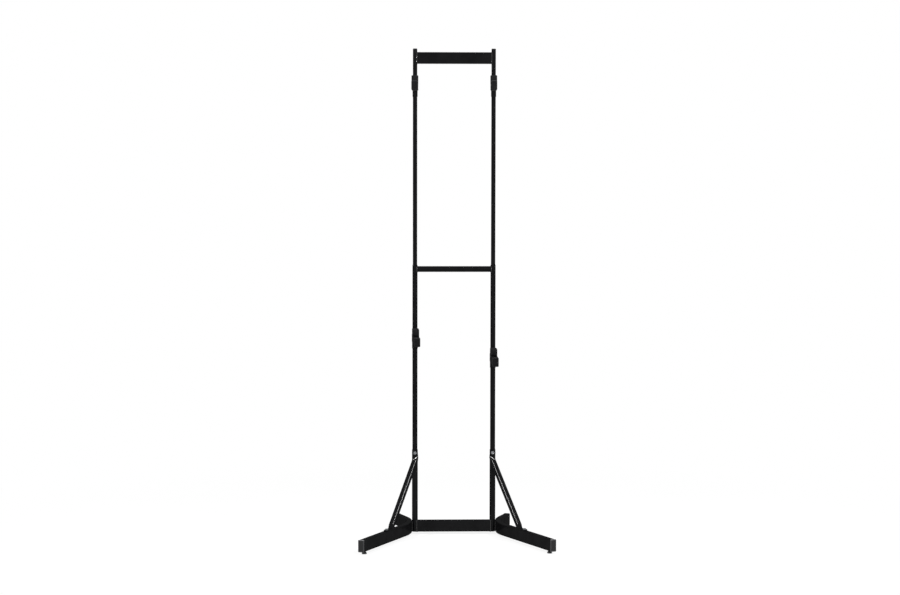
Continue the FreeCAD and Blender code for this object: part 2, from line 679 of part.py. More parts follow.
def flat_end(centre, direction, across, thickness_way, width, length, hole_at):
    """A flattened tube end: a strip with a round nose and a bolt hole."""
    thick = size["brace_tab"].value
    half = width / 2
    nose = centre + direction * length
    corners = [centre + across * half, nose + across * half, nose + direction * half,
               nose - across * half, centre - across * half]
    outline = Part.Wire([Part.LineSegment(corners[0], corners[1]).toShape(),
                         Part.Arc(corners[1], corners[2], corners[3]).toShape(),
                         Part.LineSegment(corners[3], corners[4]).toShape(),
                         Part.LineSegment(corners[4], corners[0]).toShape()])
    strip = Part.Face(outline).extrude(thickness_way * thick)
    return strip.cut(Part.makeCylinder(BOLT_HOLE.value, thick, hole_at, thickness_way))


def swell(centre, across, thickness_way, width, axis, hub):
    """The stretch where a brace tube runs from its flat end to its round section."""
    thick = size["brace_tab"].value
    radius = size["brace_radius"].value
    middle = centre + thickness_way * (thick / 2)
    bow = axis.cross(across)
    bow.normalize()
    side = bow.cross(axis)
    side.normalize()
    if bow.dot(thickness_way) < 0:
        bow = bow * -1
    up = thickness_way * (thick / 2)
    right_tip = middle + across * (width / 2)
    left_tip = middle - across * (width / 2)
    right = right_tip - across * (thick / 2)
    left = left_tip + across * (thick / 2)
    flat = Part.Wire([Part.LineSegment(left + up, right + up).toShape(),
                      Part.Arc(right + up, right_tip, right - up).toShape(),
                      Part.LineSegment(right - up, left - up).toShape(),
                      Part.Arc(left - up, left_tip, left + up).toShape()])

    def rim(degrees):
        angle = math.radians(degrees)
        return hub + side * (radius * math.cos(angle)) + bow * (radius * math.sin(angle))

    if side.dot(across) < 0:
        side = side * -1
    quarters = [Part.Arc(rim(turn + 45), rim(turn), rim(turn - 45)).toShape() for turn in (90, 0, -90, 180)]
    round_end = Part.Wire(quarters)
    return Part.makeLoft([flat, round_end], True, True)


def make_brace(side, sign):
    """A round tube pressed flat at both ends: one end on the post's front, one on the leg's top.

    Its own origin lies on the axis of the post, at the height of the brace's upper bolt.
    """
    origin = Vector(POST_X.value * sign, POST_Y.value, BOLT_HEIGHT.value)
    bolt_at = Vector(0, -LOWER_R.value, 0)
    drop = size["brace_bend_drop"].value
    top_fold = bolt_at - Vector(size["brace_fold_shift"].value * sign, 0, drop)
    top_bend = bolt_at - Vector(size["brace_inset"].value * sign, 0, drop)
    foot_x, foot_y = brace_bend(sign)
    low_bend = Vector(foot_x.value, foot_y.value, LEG_TOP.value) - origin
    out_x, out_y = brace_bolt(sign)
    foot_bolt = Vector(out_x.value, out_y.value, LEG_TOP.value) - origin
    forward = Vector(0, -1, 0)
    half_tab = size["brace_tab"].value / 2
    axis = (low_bend + UP * half_tab) - (top_bend + forward * half_tab)
    run = axis.Length
    axis.normalize()
    flare = size["brace_swell"].value
    up_tab = bolt_at - top_fold
    tab_length = up_tab.Length
    up_tab.normalize()
    top_across = forward.cross(up_tab)
    along_leg = foot_bolt - low_bend
    along_leg.normalize()
    foot_across = along_leg.cross(UP)
    top_width = size["brace_top_width"].value
    foot_width = size["brace_foot_width"].value
    top_hub = top_bend + forward * half_tab + axis * flare
    foot_hub = low_bend + UP * half_tab - axis * flare
    tube_length = run - flare * 2
    tube = Part.makeCylinder(size["brace_radius"].value, tube_length, top_hub, axis)
    inside = size["brace_radius"].value - size["brace_wall"].value
    hollow = Part.makeCylinder(inside, tube_length, top_hub, axis)
    shape = flat_end(top_fold, up_tab, top_across, forward, top_width, tab_length, bolt_at)
    shape = shape.fuse(swell(top_fold, top_across, forward, top_width, axis, top_hub))
    shape = shape.fuse(tube)
    shape = shape.fuse(swell(low_bend, foot_across, UP, foot_width, axis, foot_hub))
    reach = size["brace_foot_reach"].value
    shape = shape.fuse(flat_end(low_bend, along_leg, foot_across, UP, foot_width, reach, foot_bolt))
    shape = shape.cut(hollow)
    brace = doc.addObject("Part::Feature", f"{side}_brace_shape")
    brace.Shape = shape
    place(keep(f"{side}_brace", brace), POST_X * sign, POST_Y, BOLT_HEIGHT)


def arm_place(body, x_sign, turn, height):
    """Stands a piece of an arm on its post, turned about the post."""
    place(body, POST_X * x_sign, POST_Y, height, Rotation(UP, turn.value))


def make_arm(name, x_sign, post_radius, post_top):
    """One arm: clamped collar with its screw, turning sleeve with its bar, end cap and rubber cradle."""
    height = post_top - size[f"{name}_drop"]
    turn = size[f"{name}_angle"]
    bore = post_radius + size["post_fit"]
    outer = bore + size["post_wall"]

    collar = round_tube(f"{name}_collar", outer, bore, size["collar_height"])
    block = new_sketch(collar, "XZ_Plane", -(outer + size["boss_depth"]))
    low = (size["collar_height"] - size["boss_height"]) / 2
    high = low + size["boss_height"]
    half = size["boss_width"] / 2
    polygon(block, ((-half, low), (half, low), (half, high), (-half, high)))
    pad(collar, block, outer + size["boss_depth"])
    bore_again = new_sketch(collar, "XY_Plane")
    circle(bore_again, bore)
    pocket(collar, bore_again, size["collar_height"], reverse=True)
    tapped = new_sketch(collar, "XZ_Plane")
    circle(tapped, size["clamp_radius"] + size["thread_play"], along=size["collar_height"] / 2)
    pocket(collar, tapped, outer + size["boss_depth"], reverse=False)
    arm_place(collar, x_sign, turn, height - size["collar_height"])

    screw_start = outer + size["boss_depth"] + size["clamp_gap"]
    screw = socket_screw(screw_start - post_radius, 0, 0, 0)
    spin = Rotation(UP, turn.value)
    screw.Placement = Placement(Vector(), spin.multiply(TO_BACK))
    bind(screw, "Placement.Base.x", POST_X * x_sign - screw_start * sine(turn))
    bind(screw, "Placement.Base.y", POST_Y + screw_start * cosine(turn))
    bind(screw, "Placement.Base.z", height - size["collar_height"] / 2)
    keep(f"{name}_clamp_screw", screw)

    sleeve = round_tube(f"{name}_sleeve", outer, bore, size["sleeve_height"])
    arm_place(sleeve, x_sign, turn, height)

    bar = new_body(f"{name}_arm_bar")
    section = new_sketch(bar, "XZ_Plane")
    rounded_rectangle(section, size["arm_width"], size["arm_height"], size["arm_corner"])
    inner_width = size["arm_width"] - size["arm_wall"] * 2
    inner_height = size["arm_height"] - size["arm_wall"] * 2
    rounded_rectangle(section, inner_width, inner_height, size["arm_corner"] - size["arm_wall"])
    pad(bar, section, size["arm_reach"] - size["cap_rim"])
    cope = new_sketch(bar, "XY_Plane")
    circle(cope, outer)
    pocket(bar, cope, middle=True)
    arm_place(bar, x_sign, turn, height + size["arm_height"] / 2)

    cap = capped_end(f"{name}_arm_cap", size["arm_width"], size["arm_height"],
                     size["arm_wall"], size["arm_corner"])
    cap_back = size["arm_reach"] - size["cap_rim"]
    cap.Placement = Placement(Vector(), spin)
    bind(cap, "Placement.Base.x", POST_X * x_sign + cap_back * sine(turn))
    bind(cap, "Placement.Base.y", POST_Y - cap_back * cosine(turn))
    bind(cap, "Placement.Base.z", height + size["arm_height"] / 2)

    make_cradle(f"{name}_cradle", x_sign, turn, height + size["arm_height"])


def make_cradle(name, x_sign, turn, level):
    """A rubber block astride the bar, with a round seat across it and a lip in front."""
    body = new_body(name)
    front = size["cradle_front"]
    back = front - size["cradle_length"]
    side = new_sketch(body, "YZ_Plane")
    skirt = -size["cradle_skirt"]
    rise = size["cradle_rise"]
    polygon(side, ((-front, skirt), (-back, skirt), (-back, rise), (-front, rise)))
    pad(body, side, size["cradle_width"], middle=True)
    half_rise = rise.value / 2
    round_edges(body, size["cradle_round"], lambda edge: edge.BoundBox.ZMax > half_rise)
    seat = new_sketch(body, "YZ_Plane")
    middle = front - size["cradle_length"] / 2
    circle(seat, size["seat_radius"], across=-middle, along=size["cradle_seat"] + size["seat_radius"])
    pocket(body, seat, middle=True)
    channel = new_sketch(body, "XZ_Plane")
    half = size["arm_width"] / 2 + size["skirt_fit"]
    polygon(channel, ((-half, skirt), (half, skirt), (half, 0), (-half, 0)))
    pocket(body, channel, middle=True)
    arm_place(body, x_sign, turn, level)


def check_and_write():
    """Stops on any failed object or bad shape, then writes one file for each sub-part."""
    doc.recompute()
    for thing in doc.Objects:
        if "Invalid" in thing.State or "Error" in thing.State:
            raise ValueError(f"{thing.Label}: state {thing.State}")
    os.makedirs("parts", exist_ok=True)
    for name, thing in parts.items():
        if thing.Shape.isNull() or not thing.Shape.isValid():
            raise ValueError(f"{name}: its shape is missing or not valid")
    whole = FreeCAD.BoundBox()
    solids = 0
    for name, thing in parts.items():
        whole.add(thing.Shape.BoundBox)
        solids += len(thing.Shape.Solids)
        thing.Shape.exportStep(os.path.join("parts", name + ".step"))
    print(len(parts), "sub-parts,", solids, "solids")
    print("lowest corner", round(whole.XMin, 2), round(whole.YMin, 2), round(whole.ZMin, 2))
    print("highest corner", round(whole.XMax, 2), round(whole.YMax, 2), round(whole.ZMax, 2))


make_posts()
make_crossbars()
for rack_side, rack_sign in (("left", -1), ("right", 1)):
    make_leg(rack_side, rack_sign)
    make_leg_caps(rack_side, rack_sign)
    make_feet(rack_side, rack_sign)
    make_brace(rack_side, rack_sign)
make_fasteners()
for arm_side, arm_sign in (("left", -1), ("right", 1)):
    make_arm(f"upper_{arm_side}", arm_sign, UPPER_R, size["upper_post_top"])
    make_arm(f"lower_{arm_side}", arm_sign, MIDDLE_R, size["middle_post_top"])
check_and_write()
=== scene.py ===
import json
import math

import bmesh
import bpy
from mathutils import Matrix, Vector
from mathutils.bvhtree import BVHTree


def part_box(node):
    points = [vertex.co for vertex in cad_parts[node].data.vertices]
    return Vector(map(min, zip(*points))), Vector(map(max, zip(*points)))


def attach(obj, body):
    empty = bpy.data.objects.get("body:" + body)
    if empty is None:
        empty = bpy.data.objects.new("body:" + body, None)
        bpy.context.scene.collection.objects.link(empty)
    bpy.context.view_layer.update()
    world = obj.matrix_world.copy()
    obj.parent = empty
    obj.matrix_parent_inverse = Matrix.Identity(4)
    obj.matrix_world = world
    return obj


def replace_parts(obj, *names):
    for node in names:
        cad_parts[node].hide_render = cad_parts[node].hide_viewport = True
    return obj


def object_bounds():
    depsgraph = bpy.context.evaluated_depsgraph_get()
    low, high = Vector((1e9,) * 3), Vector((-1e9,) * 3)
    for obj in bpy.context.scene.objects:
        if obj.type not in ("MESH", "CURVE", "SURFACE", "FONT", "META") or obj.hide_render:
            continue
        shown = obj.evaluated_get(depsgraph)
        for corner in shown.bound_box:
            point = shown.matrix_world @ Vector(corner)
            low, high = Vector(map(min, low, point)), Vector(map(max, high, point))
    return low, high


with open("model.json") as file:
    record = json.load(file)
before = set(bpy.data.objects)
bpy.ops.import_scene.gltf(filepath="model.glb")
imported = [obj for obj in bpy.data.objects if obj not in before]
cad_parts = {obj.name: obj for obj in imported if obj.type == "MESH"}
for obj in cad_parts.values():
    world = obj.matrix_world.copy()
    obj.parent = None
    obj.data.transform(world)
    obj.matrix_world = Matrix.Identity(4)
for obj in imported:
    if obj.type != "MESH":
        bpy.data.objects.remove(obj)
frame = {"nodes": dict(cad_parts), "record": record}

# %% [markdown]
# # A two tier bike rack
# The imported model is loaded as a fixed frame: every tube, cap and bolt is already at its real place,
# in metres, with +Z up. This lesson gives each surface its real finish, models what a welder, a
# moulder and a screw maker leave behind, and sets up the camera, the floor and the light.

# %% The size of the frame
MM = 0.001

cad_low, cad_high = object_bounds()
print("frame from", [round(v, 3) for v in cad_low], "to", [round(v, 3) for v in cad_high])


def middle(node):
    """The centre of a CAD node's box."""
    low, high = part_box(node)
    return (Vector(low) + Vector(high)) / 2


POST_Y = middle("middle_crossbar").y
POST_X = middle("right_lower_post").x
SIDES = (("left", -1), ("right", 1))
ARMS = tuple((f"{level}_{side}", sign) for level in ("upper", "lower") for side, sign in SIDES)
print("posts at x", round(POST_X, 4), "and y", round(POST_Y, 4), "with arms", [name for name, sign in ARMS])

# %% [markdown]
# ## The camera
# The photograph was taken from about ten metres away with a long lens, a little left of the middle
# and about eye height. A long distance keeps the posts parallel and lets both feet show.
# Its place was found by fitting a pinhole camera to the straight edges of the rack.

# %% Camera
CAMERA_PLACE = Vector((-0.3186, POST_Y - 10.138, 1.800))
CAMERA_TURN = (math.radians(85.766), math.radians(-0.09), math.radians(-1.694))
LENS_MM = 92.6
SENSOR_MM = 36.0

camera_data = bpy.data.cameras.new("camera")
camera_data.lens = LENS_MM
camera_data.sensor_width = SENSOR_MM
camera = bpy.data.objects.new("camera", camera_data)
camera.location = CAMERA_PLACE
camera.rotation_euler = CAMERA_TURN
bpy.context.scene.collection.objects.link(camera)
bpy.context.scene.camera = camera
print("camera", round((CAMERA_PLACE - Vector((0, POST_Y, 1.0))).length, 2), "m from the rack")

# %% [markdown]
# ## Colours and nodes
# Colours are written as sRGB hex values, as a paint chart gives them, and turned to the linear
# values that the renderer works in. One small function adds a shader node, so that each finish
# below reads as a list of what it is made of.

# %% Colour and node helpers
TONE_LOW = 0.3
TONE_HIGH = 0.75


def linear(hex_colour):
    """Turns an sRGB hex colour into linear red, green, blue and alpha."""
    values = [int(hex_colour[i:i + 2], 16) / 255 for i in (1, 3, 5)]
    return tuple(v / 12.92 if v <= 0.04045 else ((v + 0.055) / 1.055) ** 2.4 for v in values) + (1.0,)


def add_node(tree, kind, links=None, **settings):
    """Adds a node. Settings are its own properties or, by socket name, the values of its inputs."""
    made = tree.nodes.new(kind)
    for name, value in settings.items():
        if hasattr(made, name):
            setattr(made, name, value)
        else:
            made.inputs[name.replace("_", " ")].default_value = value
    for name, socket in (links or {}).items():
        tree.links.new(socket, made.inputs[name])
    return made


def new_material(name):
    """An empty material with its tree and its output node."""
    material = bpy.data.materials.new(name)
    material.use_nodes = True
    material.node_tree.nodes.clear()
    output = add_node(material.node_tree, "ShaderNodeOutputMaterial")
    return material, material.node_tree, output


def two_tone(tree, factor, dark, light):
    """A colour that runs from dark to light as a pattern does."""
    ramp = add_node(tree, "ShaderNodeValToRGB", {"Fac": factor})
    ramp.color_ramp.elements[0].position = TONE_LOW
    ramp.color_ramp.elements[0].color = linear(dark)
    ramp.color_ramp.elements[1].position = TONE_HIGH
    ramp.color_ramp.elements[1].color = linear(light)
    return ramp.outputs["Color"]


def spread(tree, factor, low, high):
    """A pattern's value stretched to the range from low to high."""
    spreader = add_node(tree, "ShaderNodeMapRange", {"Value": factor})
    spreader.inputs["To Min"].default_value = low
    spreader.inputs["To Max"].default_value = high
    return spreader.outputs["Result"]


def grain(tree, size_mm, detail, roughness=0.55):
    """Noise in the piece's own space, whose grains are about that many millimetres apart."""
    where = add_node(tree, "ShaderNodeTexCoord")
    noise = add_node(tree, "ShaderNodeTexNoise", {"Vector": where.outputs["Object"]},
                     Scale=1.0 / (size_mm * MM), Detail=detail, Roughness=roughness)
    return noise.outputs["Fac"]


# %% [markdown]
# ## The floor and the light
# The rack stands on a plain white floor that runs into a white background. The camera and shiny
# surfaces see that white, and the floor keeps a faint shadow close to the rack, which fades out with
# distance so that no horizon shows. Two small softboxes hang in front, high up at the left and the
# right. A round tube mirrors a lamp only where the lamp lies on a certain cone round the tube, and
# each of these two lies on the cone of one leaning brace. So each draws a bright line down its own
# brace and leaves the upright tubes dark. A third, weaker one in front lights the folds and edges.

# %% Floor
FLOOR_SIZE = 60.0
SHADOW_SHARE = 0.15
SHADOW_REACH = 2.6


def seen_directly(tree):
    """1 for rays that come straight from the camera, off a gloss or through glass, else 0."""
    rays = add_node(tree, "ShaderNodeLightPath")
    seen = add_node(tree, "ShaderNodeMath",
                    {0: rays.outputs["Is Camera Ray"], 1: rays.outputs["Is Glossy Ray"]}, operation="MAXIMUM")
    through = add_node(tree, "ShaderNodeMath",
                       {0: seen.outputs[0], 1: rays.outputs["Is Transmission Ray"]}, operation="MAXIMUM")
    return through.outputs[0]


bpy.ops.mesh.primitive_plane_add(size=FLOOR_SIZE, location=(0, 0, 0))
floor = bpy.context.active_object
floor.name = "floor"
floor_paint, tree, output = new_material("white_studio_floor")
where = add_node(tree, "ShaderNodeTexCoord")
distance = add_node(tree, "ShaderNodeVectorMath", {0: where.outputs["Object"]}, operation="LENGTH")
fade = add_node(tree, "ShaderNodeMapRange", {"Value": distance.outputs["Value"]},
                interpolation_type="SMOOTHSTEP")
fade.inputs["From Max"].default_value = SHADOW_REACH
fade.inputs["To Min"].default_value = 1.0 - SHADOW_SHARE
fade.inputs["To Max"].default_value = 1.0
share = add_node(tree, "ShaderNodeMath", {0: seen_directly(tree), 1: fade.outputs["Result"]},
                 operation="MULTIPLY")
matte = add_node(tree, "ShaderNodeBsdfDiffuse", Color=linear("#f4f4f4"))
white = add_node(tree, "ShaderNodeEmission", Color=linear("#ffffff"), Strength=1.0)
mixed = add_node(tree, "ShaderNodeMixShader", {0: share.outputs[0], 1: matte.outputs[0], 2: white.outputs[0]})
tree.links.new(mixed.outputs[0], output.inputs["Surface"])
floor.data.materials.append(floor_paint)

# %% World
ROOM_LIGHT = 0.25

world = bpy.data.worlds.new("white_studio")
bpy.context.scene.world = world
world.use_nodes = True
tree = world.node_tree
tree.nodes.clear()
room = add_node(tree, "ShaderNodeBackground", Color=linear("#ffffff"), Strength=ROOM_LIGHT)
backdrop = add_node(tree, "ShaderNodeBackground", Color=linear("#ffffff"), Strength=1.0)
mixed = add_node(tree, "ShaderNodeMixShader",
                 {0: seen_directly(tree), 1: room.outputs[0], 2: backdrop.outputs[0]})
output = add_node(tree, "ShaderNodeOutputWorld", {"Surface": mixed.outputs[0]})


# %% Lamps
def area_light(name, place, aim, width, watts):
    """A square softbox that faces a point."""
    data = bpy.data.lights.new(name, "AREA")
    data.shape = "RECTANGLE"
    data.size = width
    data.size_y = width
    data.energy = watts
    lamp = bpy.data.objects.new(name, data)
    lamp.location = place
    lamp.rotation_euler = (Vector(aim) - Vector(place)).to_track_quat("-Z", "Y").to_euler()
    bpy.context.scene.collection.objects.link(lamp)
    return lamp


LEFT_BRACE_MIDDLE = (-0.22, 0.03, 0.21)
RIGHT_BRACE_MIDDLE = (0.22, 0.03, 0.21)
LEFT_BRACE_TOP = (-0.17, 0.15, 0.34)
area_light("right_softbox", (2.45, -1.69, 3.40), LEFT_BRACE_MIDDLE, width=0.5, watts=160)
area_light("left_softbox", (-2.27, -1.83, 3.47), RIGHT_BRACE_MIDDLE, width=0.5, watts=160)
area_light("front_softbox", (0.81, -2.40, 2.55), LEFT_BRACE_TOP, width=0.6, watts=40)
bpy.context.scene.view_settings.view_transform = "Standard"

# %% [markdown]
# ## The powder coat
# The tubes are mild steel with a black polyester powder coat, sprayed on dry and baked. Baking lets
# the powder flow into a satin skin with a faint orange peel, whose dimples are one to two
# millimetres apart. Noise of that size drives a shallow bump, and a slower noise varies the gloss.
# The clear skin of the paint is a thin coat over a very dark, matt ground, which keeps the flat
# faces black and still draws a fine bright line along each round tube. On welds and in creases the
# powder flows together into a thicker, glossier layer. Near the floor the same paint is painted a shade
# lighter, as painted bounce light from the white floor.

# %% Near the floor
SCUFF_AND_FLOOR_LIGHT_TOP = 0.40


def near_floor(tree):
    """1 at the floor, falling to 0 above the height that shoes scuff and that the painted bounce light from
    the floor reaches.
    """
    where = add_node(tree, "ShaderNodeTexCoord")
    height = add_node(tree, "ShaderNodeSeparateXYZ", {0: where.outputs["Object"]})
    fall = add_node(tree, "ShaderNodeMapRange", {"Value": height.outputs["Z"]})
    fall.inputs["From Min"].default_value = SCUFF_AND_FLOOR_LIGHT_TOP / 3
    fall.inputs["From Max"].default_value = SCUFF_AND_FLOOR_LIGHT_TOP
    fall.inputs["To Min"].default_value = 1.0
    fall.inputs["To Max"].default_value = 0.0
    return fall.outputs["Result"]


def blend(tree, factor, first, second):
    """The first colour, turning into the second as a factor goes from 0 to 1."""
    mixer = add_node(tree, "ShaderNodeMixRGB", {"Fac": factor, "Color1": first, "Color2": second})
    return mixer.outputs["Color"]


# %% Powder coat
PEEL_MM = 1.6
PEEL_STRENGTH = 0.08
PEEL_DEPTH = 0.2 * MM
PATCH_MM = 45.0
COAT_IOR = 3.0
SATIN = 0.12


def powder_coat(name, gloss, softness=SATIN):
    """Black polyester powder coat, baked: a satin skin with orange peel, painted a shade lighter near the
    floor as painted bounce light.
    """
    material, tree, output = new_material(name)
    peel = grain(tree, PEEL_MM, 3.0)
    patches = grain(tree, PATCH_MM, 4.0, 0.6)
    bump = add_node(tree, "ShaderNodeBump", {"Height": peel}, Strength=PEEL_STRENGTH, Distance=PEEL_DEPTH)
    high_up_tone = two_tone(tree, patches, "#050506", "#0b0b0c")
    # Painted light: near the floor the paint turns a shade lighter, as painted bounce light from the white
    # floor.
    floor_lit_tone = two_tone(tree, patches, "#09090a", "#111112")
    skin = add_node(tree, "ShaderNodeBsdfPrincipled",
                    {"Base Color": blend(tree, near_floor(tree), high_up_tone, floor_lit_tone),
                     "Roughness": spread(tree, patches, 0.50, 0.60),
                     "Normal": bump.outputs["Normal"], "Coat Normal": bump.outputs["Normal"]})
    skin.inputs["Specular IOR Level"].default_value = 0.0
    skin.inputs["Coat Weight"].default_value = gloss
    skin.inputs["Coat IOR"].default_value = COAT_IOR
    skin.inputs["Coat Roughness"].default_value = softness
    tree.links.new(skin.outputs[0], output.inputs["Surface"])
    return material


# %% [markdown]
# ## Moulded plastic and rubber
# The end caps and foot pads are injection moulded polyethylene, black and dull, with the fine grain
# of a spark eroded mould. Their rounded outer edges turn pale, partly as wear from shoes and wheels and
# partly as painted highlight, most of all close to the floor and where an edge faces up to the light. The
# cradles are moulded rubber, which is matte, with a coarser grain
# and a bloom of pale wax in it.

# %% Plastic and rubber
BLOOM_MM = 9.0
GRAIN_STRENGTH = 0.25
FLAT_POINTINESS = 0.505
EDGE_POINTINESS = 0.53
SIDE_EDGE_WEAR_AND_HIGHLIGHT = 0.12
HIGH_EDGE_WEAR_AND_HIGHLIGHT = 0.15


def worn_and_highlit_edges(tree):
    """A mask of wear and painted highlight: 0 on flat stretches, more on rounded outer edges, and up to 1 on
    low ones that face up to the light.
    """
    shape = add_node(tree, "ShaderNodeNewGeometry")
    rubbed_and_highlit = add_node(tree, "ShaderNodeMapRange", {"Value": shape.outputs["Pointiness"]})
    rubbed_and_highlit.inputs["From Min"].default_value = FLAT_POINTINESS
    rubbed_and_highlit.inputs["From Max"].default_value = EDGE_POINTINESS
    facing = add_node(tree, "ShaderNodeSeparateXYZ", {0: shape.outputs["Normal"]})
    # Painted highlight: edges that face up, where light from above falls, are made paler than side edges.
    lit_from_above = spread(tree, facing.outputs["Z"], SIDE_EDGE_WEAR_AND_HIGHLIGHT, 1.0)
    rubbed_and_lit_from_above = add_node(tree, "ShaderNodeMath", {0: rubbed_and_highlit.outputs["Result"], 1: lit_from_above},
                         operation="MULTIPLY")
    low_down = spread(tree, near_floor(tree), HIGH_EDGE_WEAR_AND_HIGHLIGHT, 1.0)
    worn_and_highlit = add_node(tree, "ShaderNodeMath", {0: rubbed_and_lit_from_above.outputs[0], 1: low_down}, operation="MULTIPLY")
    return worn_and_highlit.outputs[0]


def moulded(name, dark, light, rubbed_and_highlit, grain_mm, rough_low, rough_high, depth, shine, polished):
    """A moulded plastic or rubber with a mould grain, polished by wear near the floor, with pale edges that
    are partly wear and partly painted highlight.
    """
    material, tree, output = new_material(name)
    bloom = grain(tree, BLOOM_MM, 5.0, 0.65)
    bump = add_node(tree, "ShaderNodeBump", {"Height": grain(tree, grain_mm, 2.0, 0.5)},
                    Strength=GRAIN_STRENGTH, Distance=depth)
    pale = add_node(tree, "ShaderNodeRGB")
    pale.outputs[0].default_value = linear(rubbed_and_highlit)
    # Painted highlight and wear: rounded edges turn pale, most of all those that face up and lie near the
    # floor.
    colour = blend(tree, worn_and_highlit_edges(tree), two_tone(tree, bloom, dark, light), pale.outputs[0])
    body = add_node(tree, "ShaderNodeBsdfPrincipled",
                    {"Base Color": colour,
                     "Roughness": spread(tree, bloom, rough_low, rough_high),
                     "Specular IOR Level": spread(tree, near_floor(tree), shine, polished),
                     "Normal": bump.outputs["Normal"]})
    tree.links.new(body.outputs[0], output.inputs["Surface"])
    return material


# %% [markdown]
# ## Zinc and black oxide
# The bolts through the posts and their nuts are zinc plated, dark with small cloudy spangles. The
# other screws are blackened in an oxide bath and keep the sheen of steel.

# %% Plated steel
CLOUD_MM = 3.0


def plated(name, dark, light, rough_low, rough_high):
    """Plated or blackened steel: a metal with clouds in its colour and roughness."""
    material, tree, output = new_material(name)
    clouds = grain(tree, CLOUD_MM, 4.0, 0.6)
    metal = add_node(tree, "ShaderNodeBsdfPrincipled",
                     {"Base Color": two_tone(tree, clouds, dark, light),
                      "Roughness": spread(tree, clouds, rough_low, rough_high)})
    metal.inputs["Metallic"].default_value = 1.0
    tree.links.new(metal.outputs[0], output.inputs["Surface"])
    return material


# %% Dress every node in its finish
# The rubbed colours of plastic and rubber paint their edges pale, partly as wear and partly as painted
# highlight; the powder coat is painted lighter near the floor.
finishes = {
    "powder_coat": powder_coat("black_powder_coat", gloss=0.020),
    "plastic": moulded("moulded_polyethylene", "#0c0c0d", "#161617", rubbed_and_highlit="#6e6e70", grain_mm=0.5,
                       rough_low=0.30, rough_high=0.42, depth=0.1 * MM, shine=0.02, polished=0.28),
    "rubber": moulded("moulded_rubber", "#0f0f10", "#1a1a1b", rubbed_and_highlit="#242425", grain_mm=0.8,
                      rough_low=0.6, rough_high=0.8, depth=0.2 * MM, shine=0.02, polished=0.02),
    "zinc": plated("dark_zinc_plate", "#4b4c4e", "#737577", rough_low=0.28, rough_high=0.45),
    "black_screws": plated("black_oxide_steel", "#161618", "#262629", rough_low=0.40, rough_high=0.55),
}
thick_powder_coat = powder_coat("thick_powder_coat", gloss=0.35)
creased_powder_coat = powder_coat("creased_powder_coat", gloss=1.0, softness=0.32)
slot_of = {entry["node"]: entry["material_slot"] for entry in frame["record"]["subparts"]}
for name, piece in frame["nodes"].items():
    piece.data.materials.clear()
    piece.data.materials.append(finishes[slot_of[name]])
print("dressed", len(slot_of), "nodes in", len(finishes), "finishes")

# %% [markdown]
# ## Modelling by hand, in code
# Each new piece starts as a primitive at its own origin, is shaped in edit mode, and is then copied
# to its place in the rack. An operator acts on everything that is selected, so each step first
# clears the selection and then picks faces or edges by where they lie.

# %% Modelling helpers
def only(piece):
    """Makes one object the active and only selected one, in object mode."""
    if bpy.context.mode != "OBJECT":
        bpy.ops.object.mode_set(mode="OBJECT")
    bpy.ops.object.select_all(action="DESELECT")
    piece.select_set(True)
    bpy.context.view_layer.objects.active = piece
    return piece


def pick(piece, kind, test):
    """Goes into edit mode and selects the VERT, EDGE or FACE elements that a test picks out."""
    only(piece)
    bpy.ops.object.mode_set(mode="EDIT")
    bpy.ops.mesh.select_mode(type=kind)
    bpy.ops.mesh.select_all(action="DESELECT")
    mesh = bmesh.from_edit_mesh(piece.data)
    elements = {"VERT": mesh.verts, "EDGE": mesh.edges, "FACE": mesh.faces}[kind]
    picked = [element for element in elements if test(element)]
    for element in picked:
        element.select_set(True)
    bmesh.update_edit_mesh(piece.data)
    return len(picked)


def drum(name, radius, low, high, sides=48, top_radius=None):
    """A round or many-sided block along Z, from one height to another, ready to be shaped."""
    if bpy.context.mode != "OBJECT":
        bpy.ops.object.mode_set(mode="OBJECT")
    bpy.ops.object.select_all(action="DESELECT")
    bpy.ops.mesh.primitive_cone_add(vertices=sides, radius1=radius,
                                    radius2=radius if top_radius is None else top_radius,
                                    depth=high - low, location=(0, 0, (low + high) / 2))
    piece = bpy.context.active_object
    piece.name = name
    bpy.ops.object.transform_apply(location=True, rotation=True, scale=True)
    return piece


def block(name, low, high):
    """A rectangular block between two corners, ready to be shaped."""
    if bpy.context.mode != "OBJECT":
        bpy.ops.object.mode_set(mode="OBJECT")
    bpy.ops.object.select_all(action="DESELECT")
    low, high = Vector(low), Vector(high)
    bpy.ops.mesh.primitive_cube_add(size=1.0, location=(low + high) / 2)
    piece = bpy.context.active_object
    piece.name = name
    piece.scale = high - low
    bpy.ops.object.transform_apply(location=True, rotation=True, scale=True)
    return piece


def combine(piece, tool, operation):
    """Joins, cuts or keeps the overlap of two blocks, and uses the second one up."""
    only(piece)
    modifier = piece.modifiers.new("combine", "BOOLEAN")
    modifier.operation = operation
    modifier.solver = "EXACT"
    modifier.object = tool
    bpy.ops.object.modifier_apply(modifier=modifier.name)
    bpy.data.objects.remove(tool)
    return piece


def soften(piece, width, segments=2, angle=40.0):
    """Rounds every edge sharper than an angle, then smooths the shading of what is left."""
    only(piece)
    modifier = piece.modifiers.new("soften", "BEVEL")
    modifier.width = width
    modifier.segments = segments
    modifier.limit_method = "ANGLE"
    modifier.angle_limit = math.radians(angle)
    modifier.use_clamp_overlap = True
    bpy.ops.object.modifier_apply(modifier=modifier.name)
    bpy.ops.object.shade_smooth_by_angle(angle=math.radians(angle))
    return piece


def put(master, name, place, body, slot):
    """Copies a finished piece to its place in the rack and hangs it on a moving body."""
    copy = bpy.data.objects.new(name, master.data.copy())
    copy.data.transform(place)
    copy.data.materials.clear()
    copy.data.materials.append(finishes[slot])
    bpy.context.scene.collection.objects.link(copy)
    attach(copy, body)
    return copy


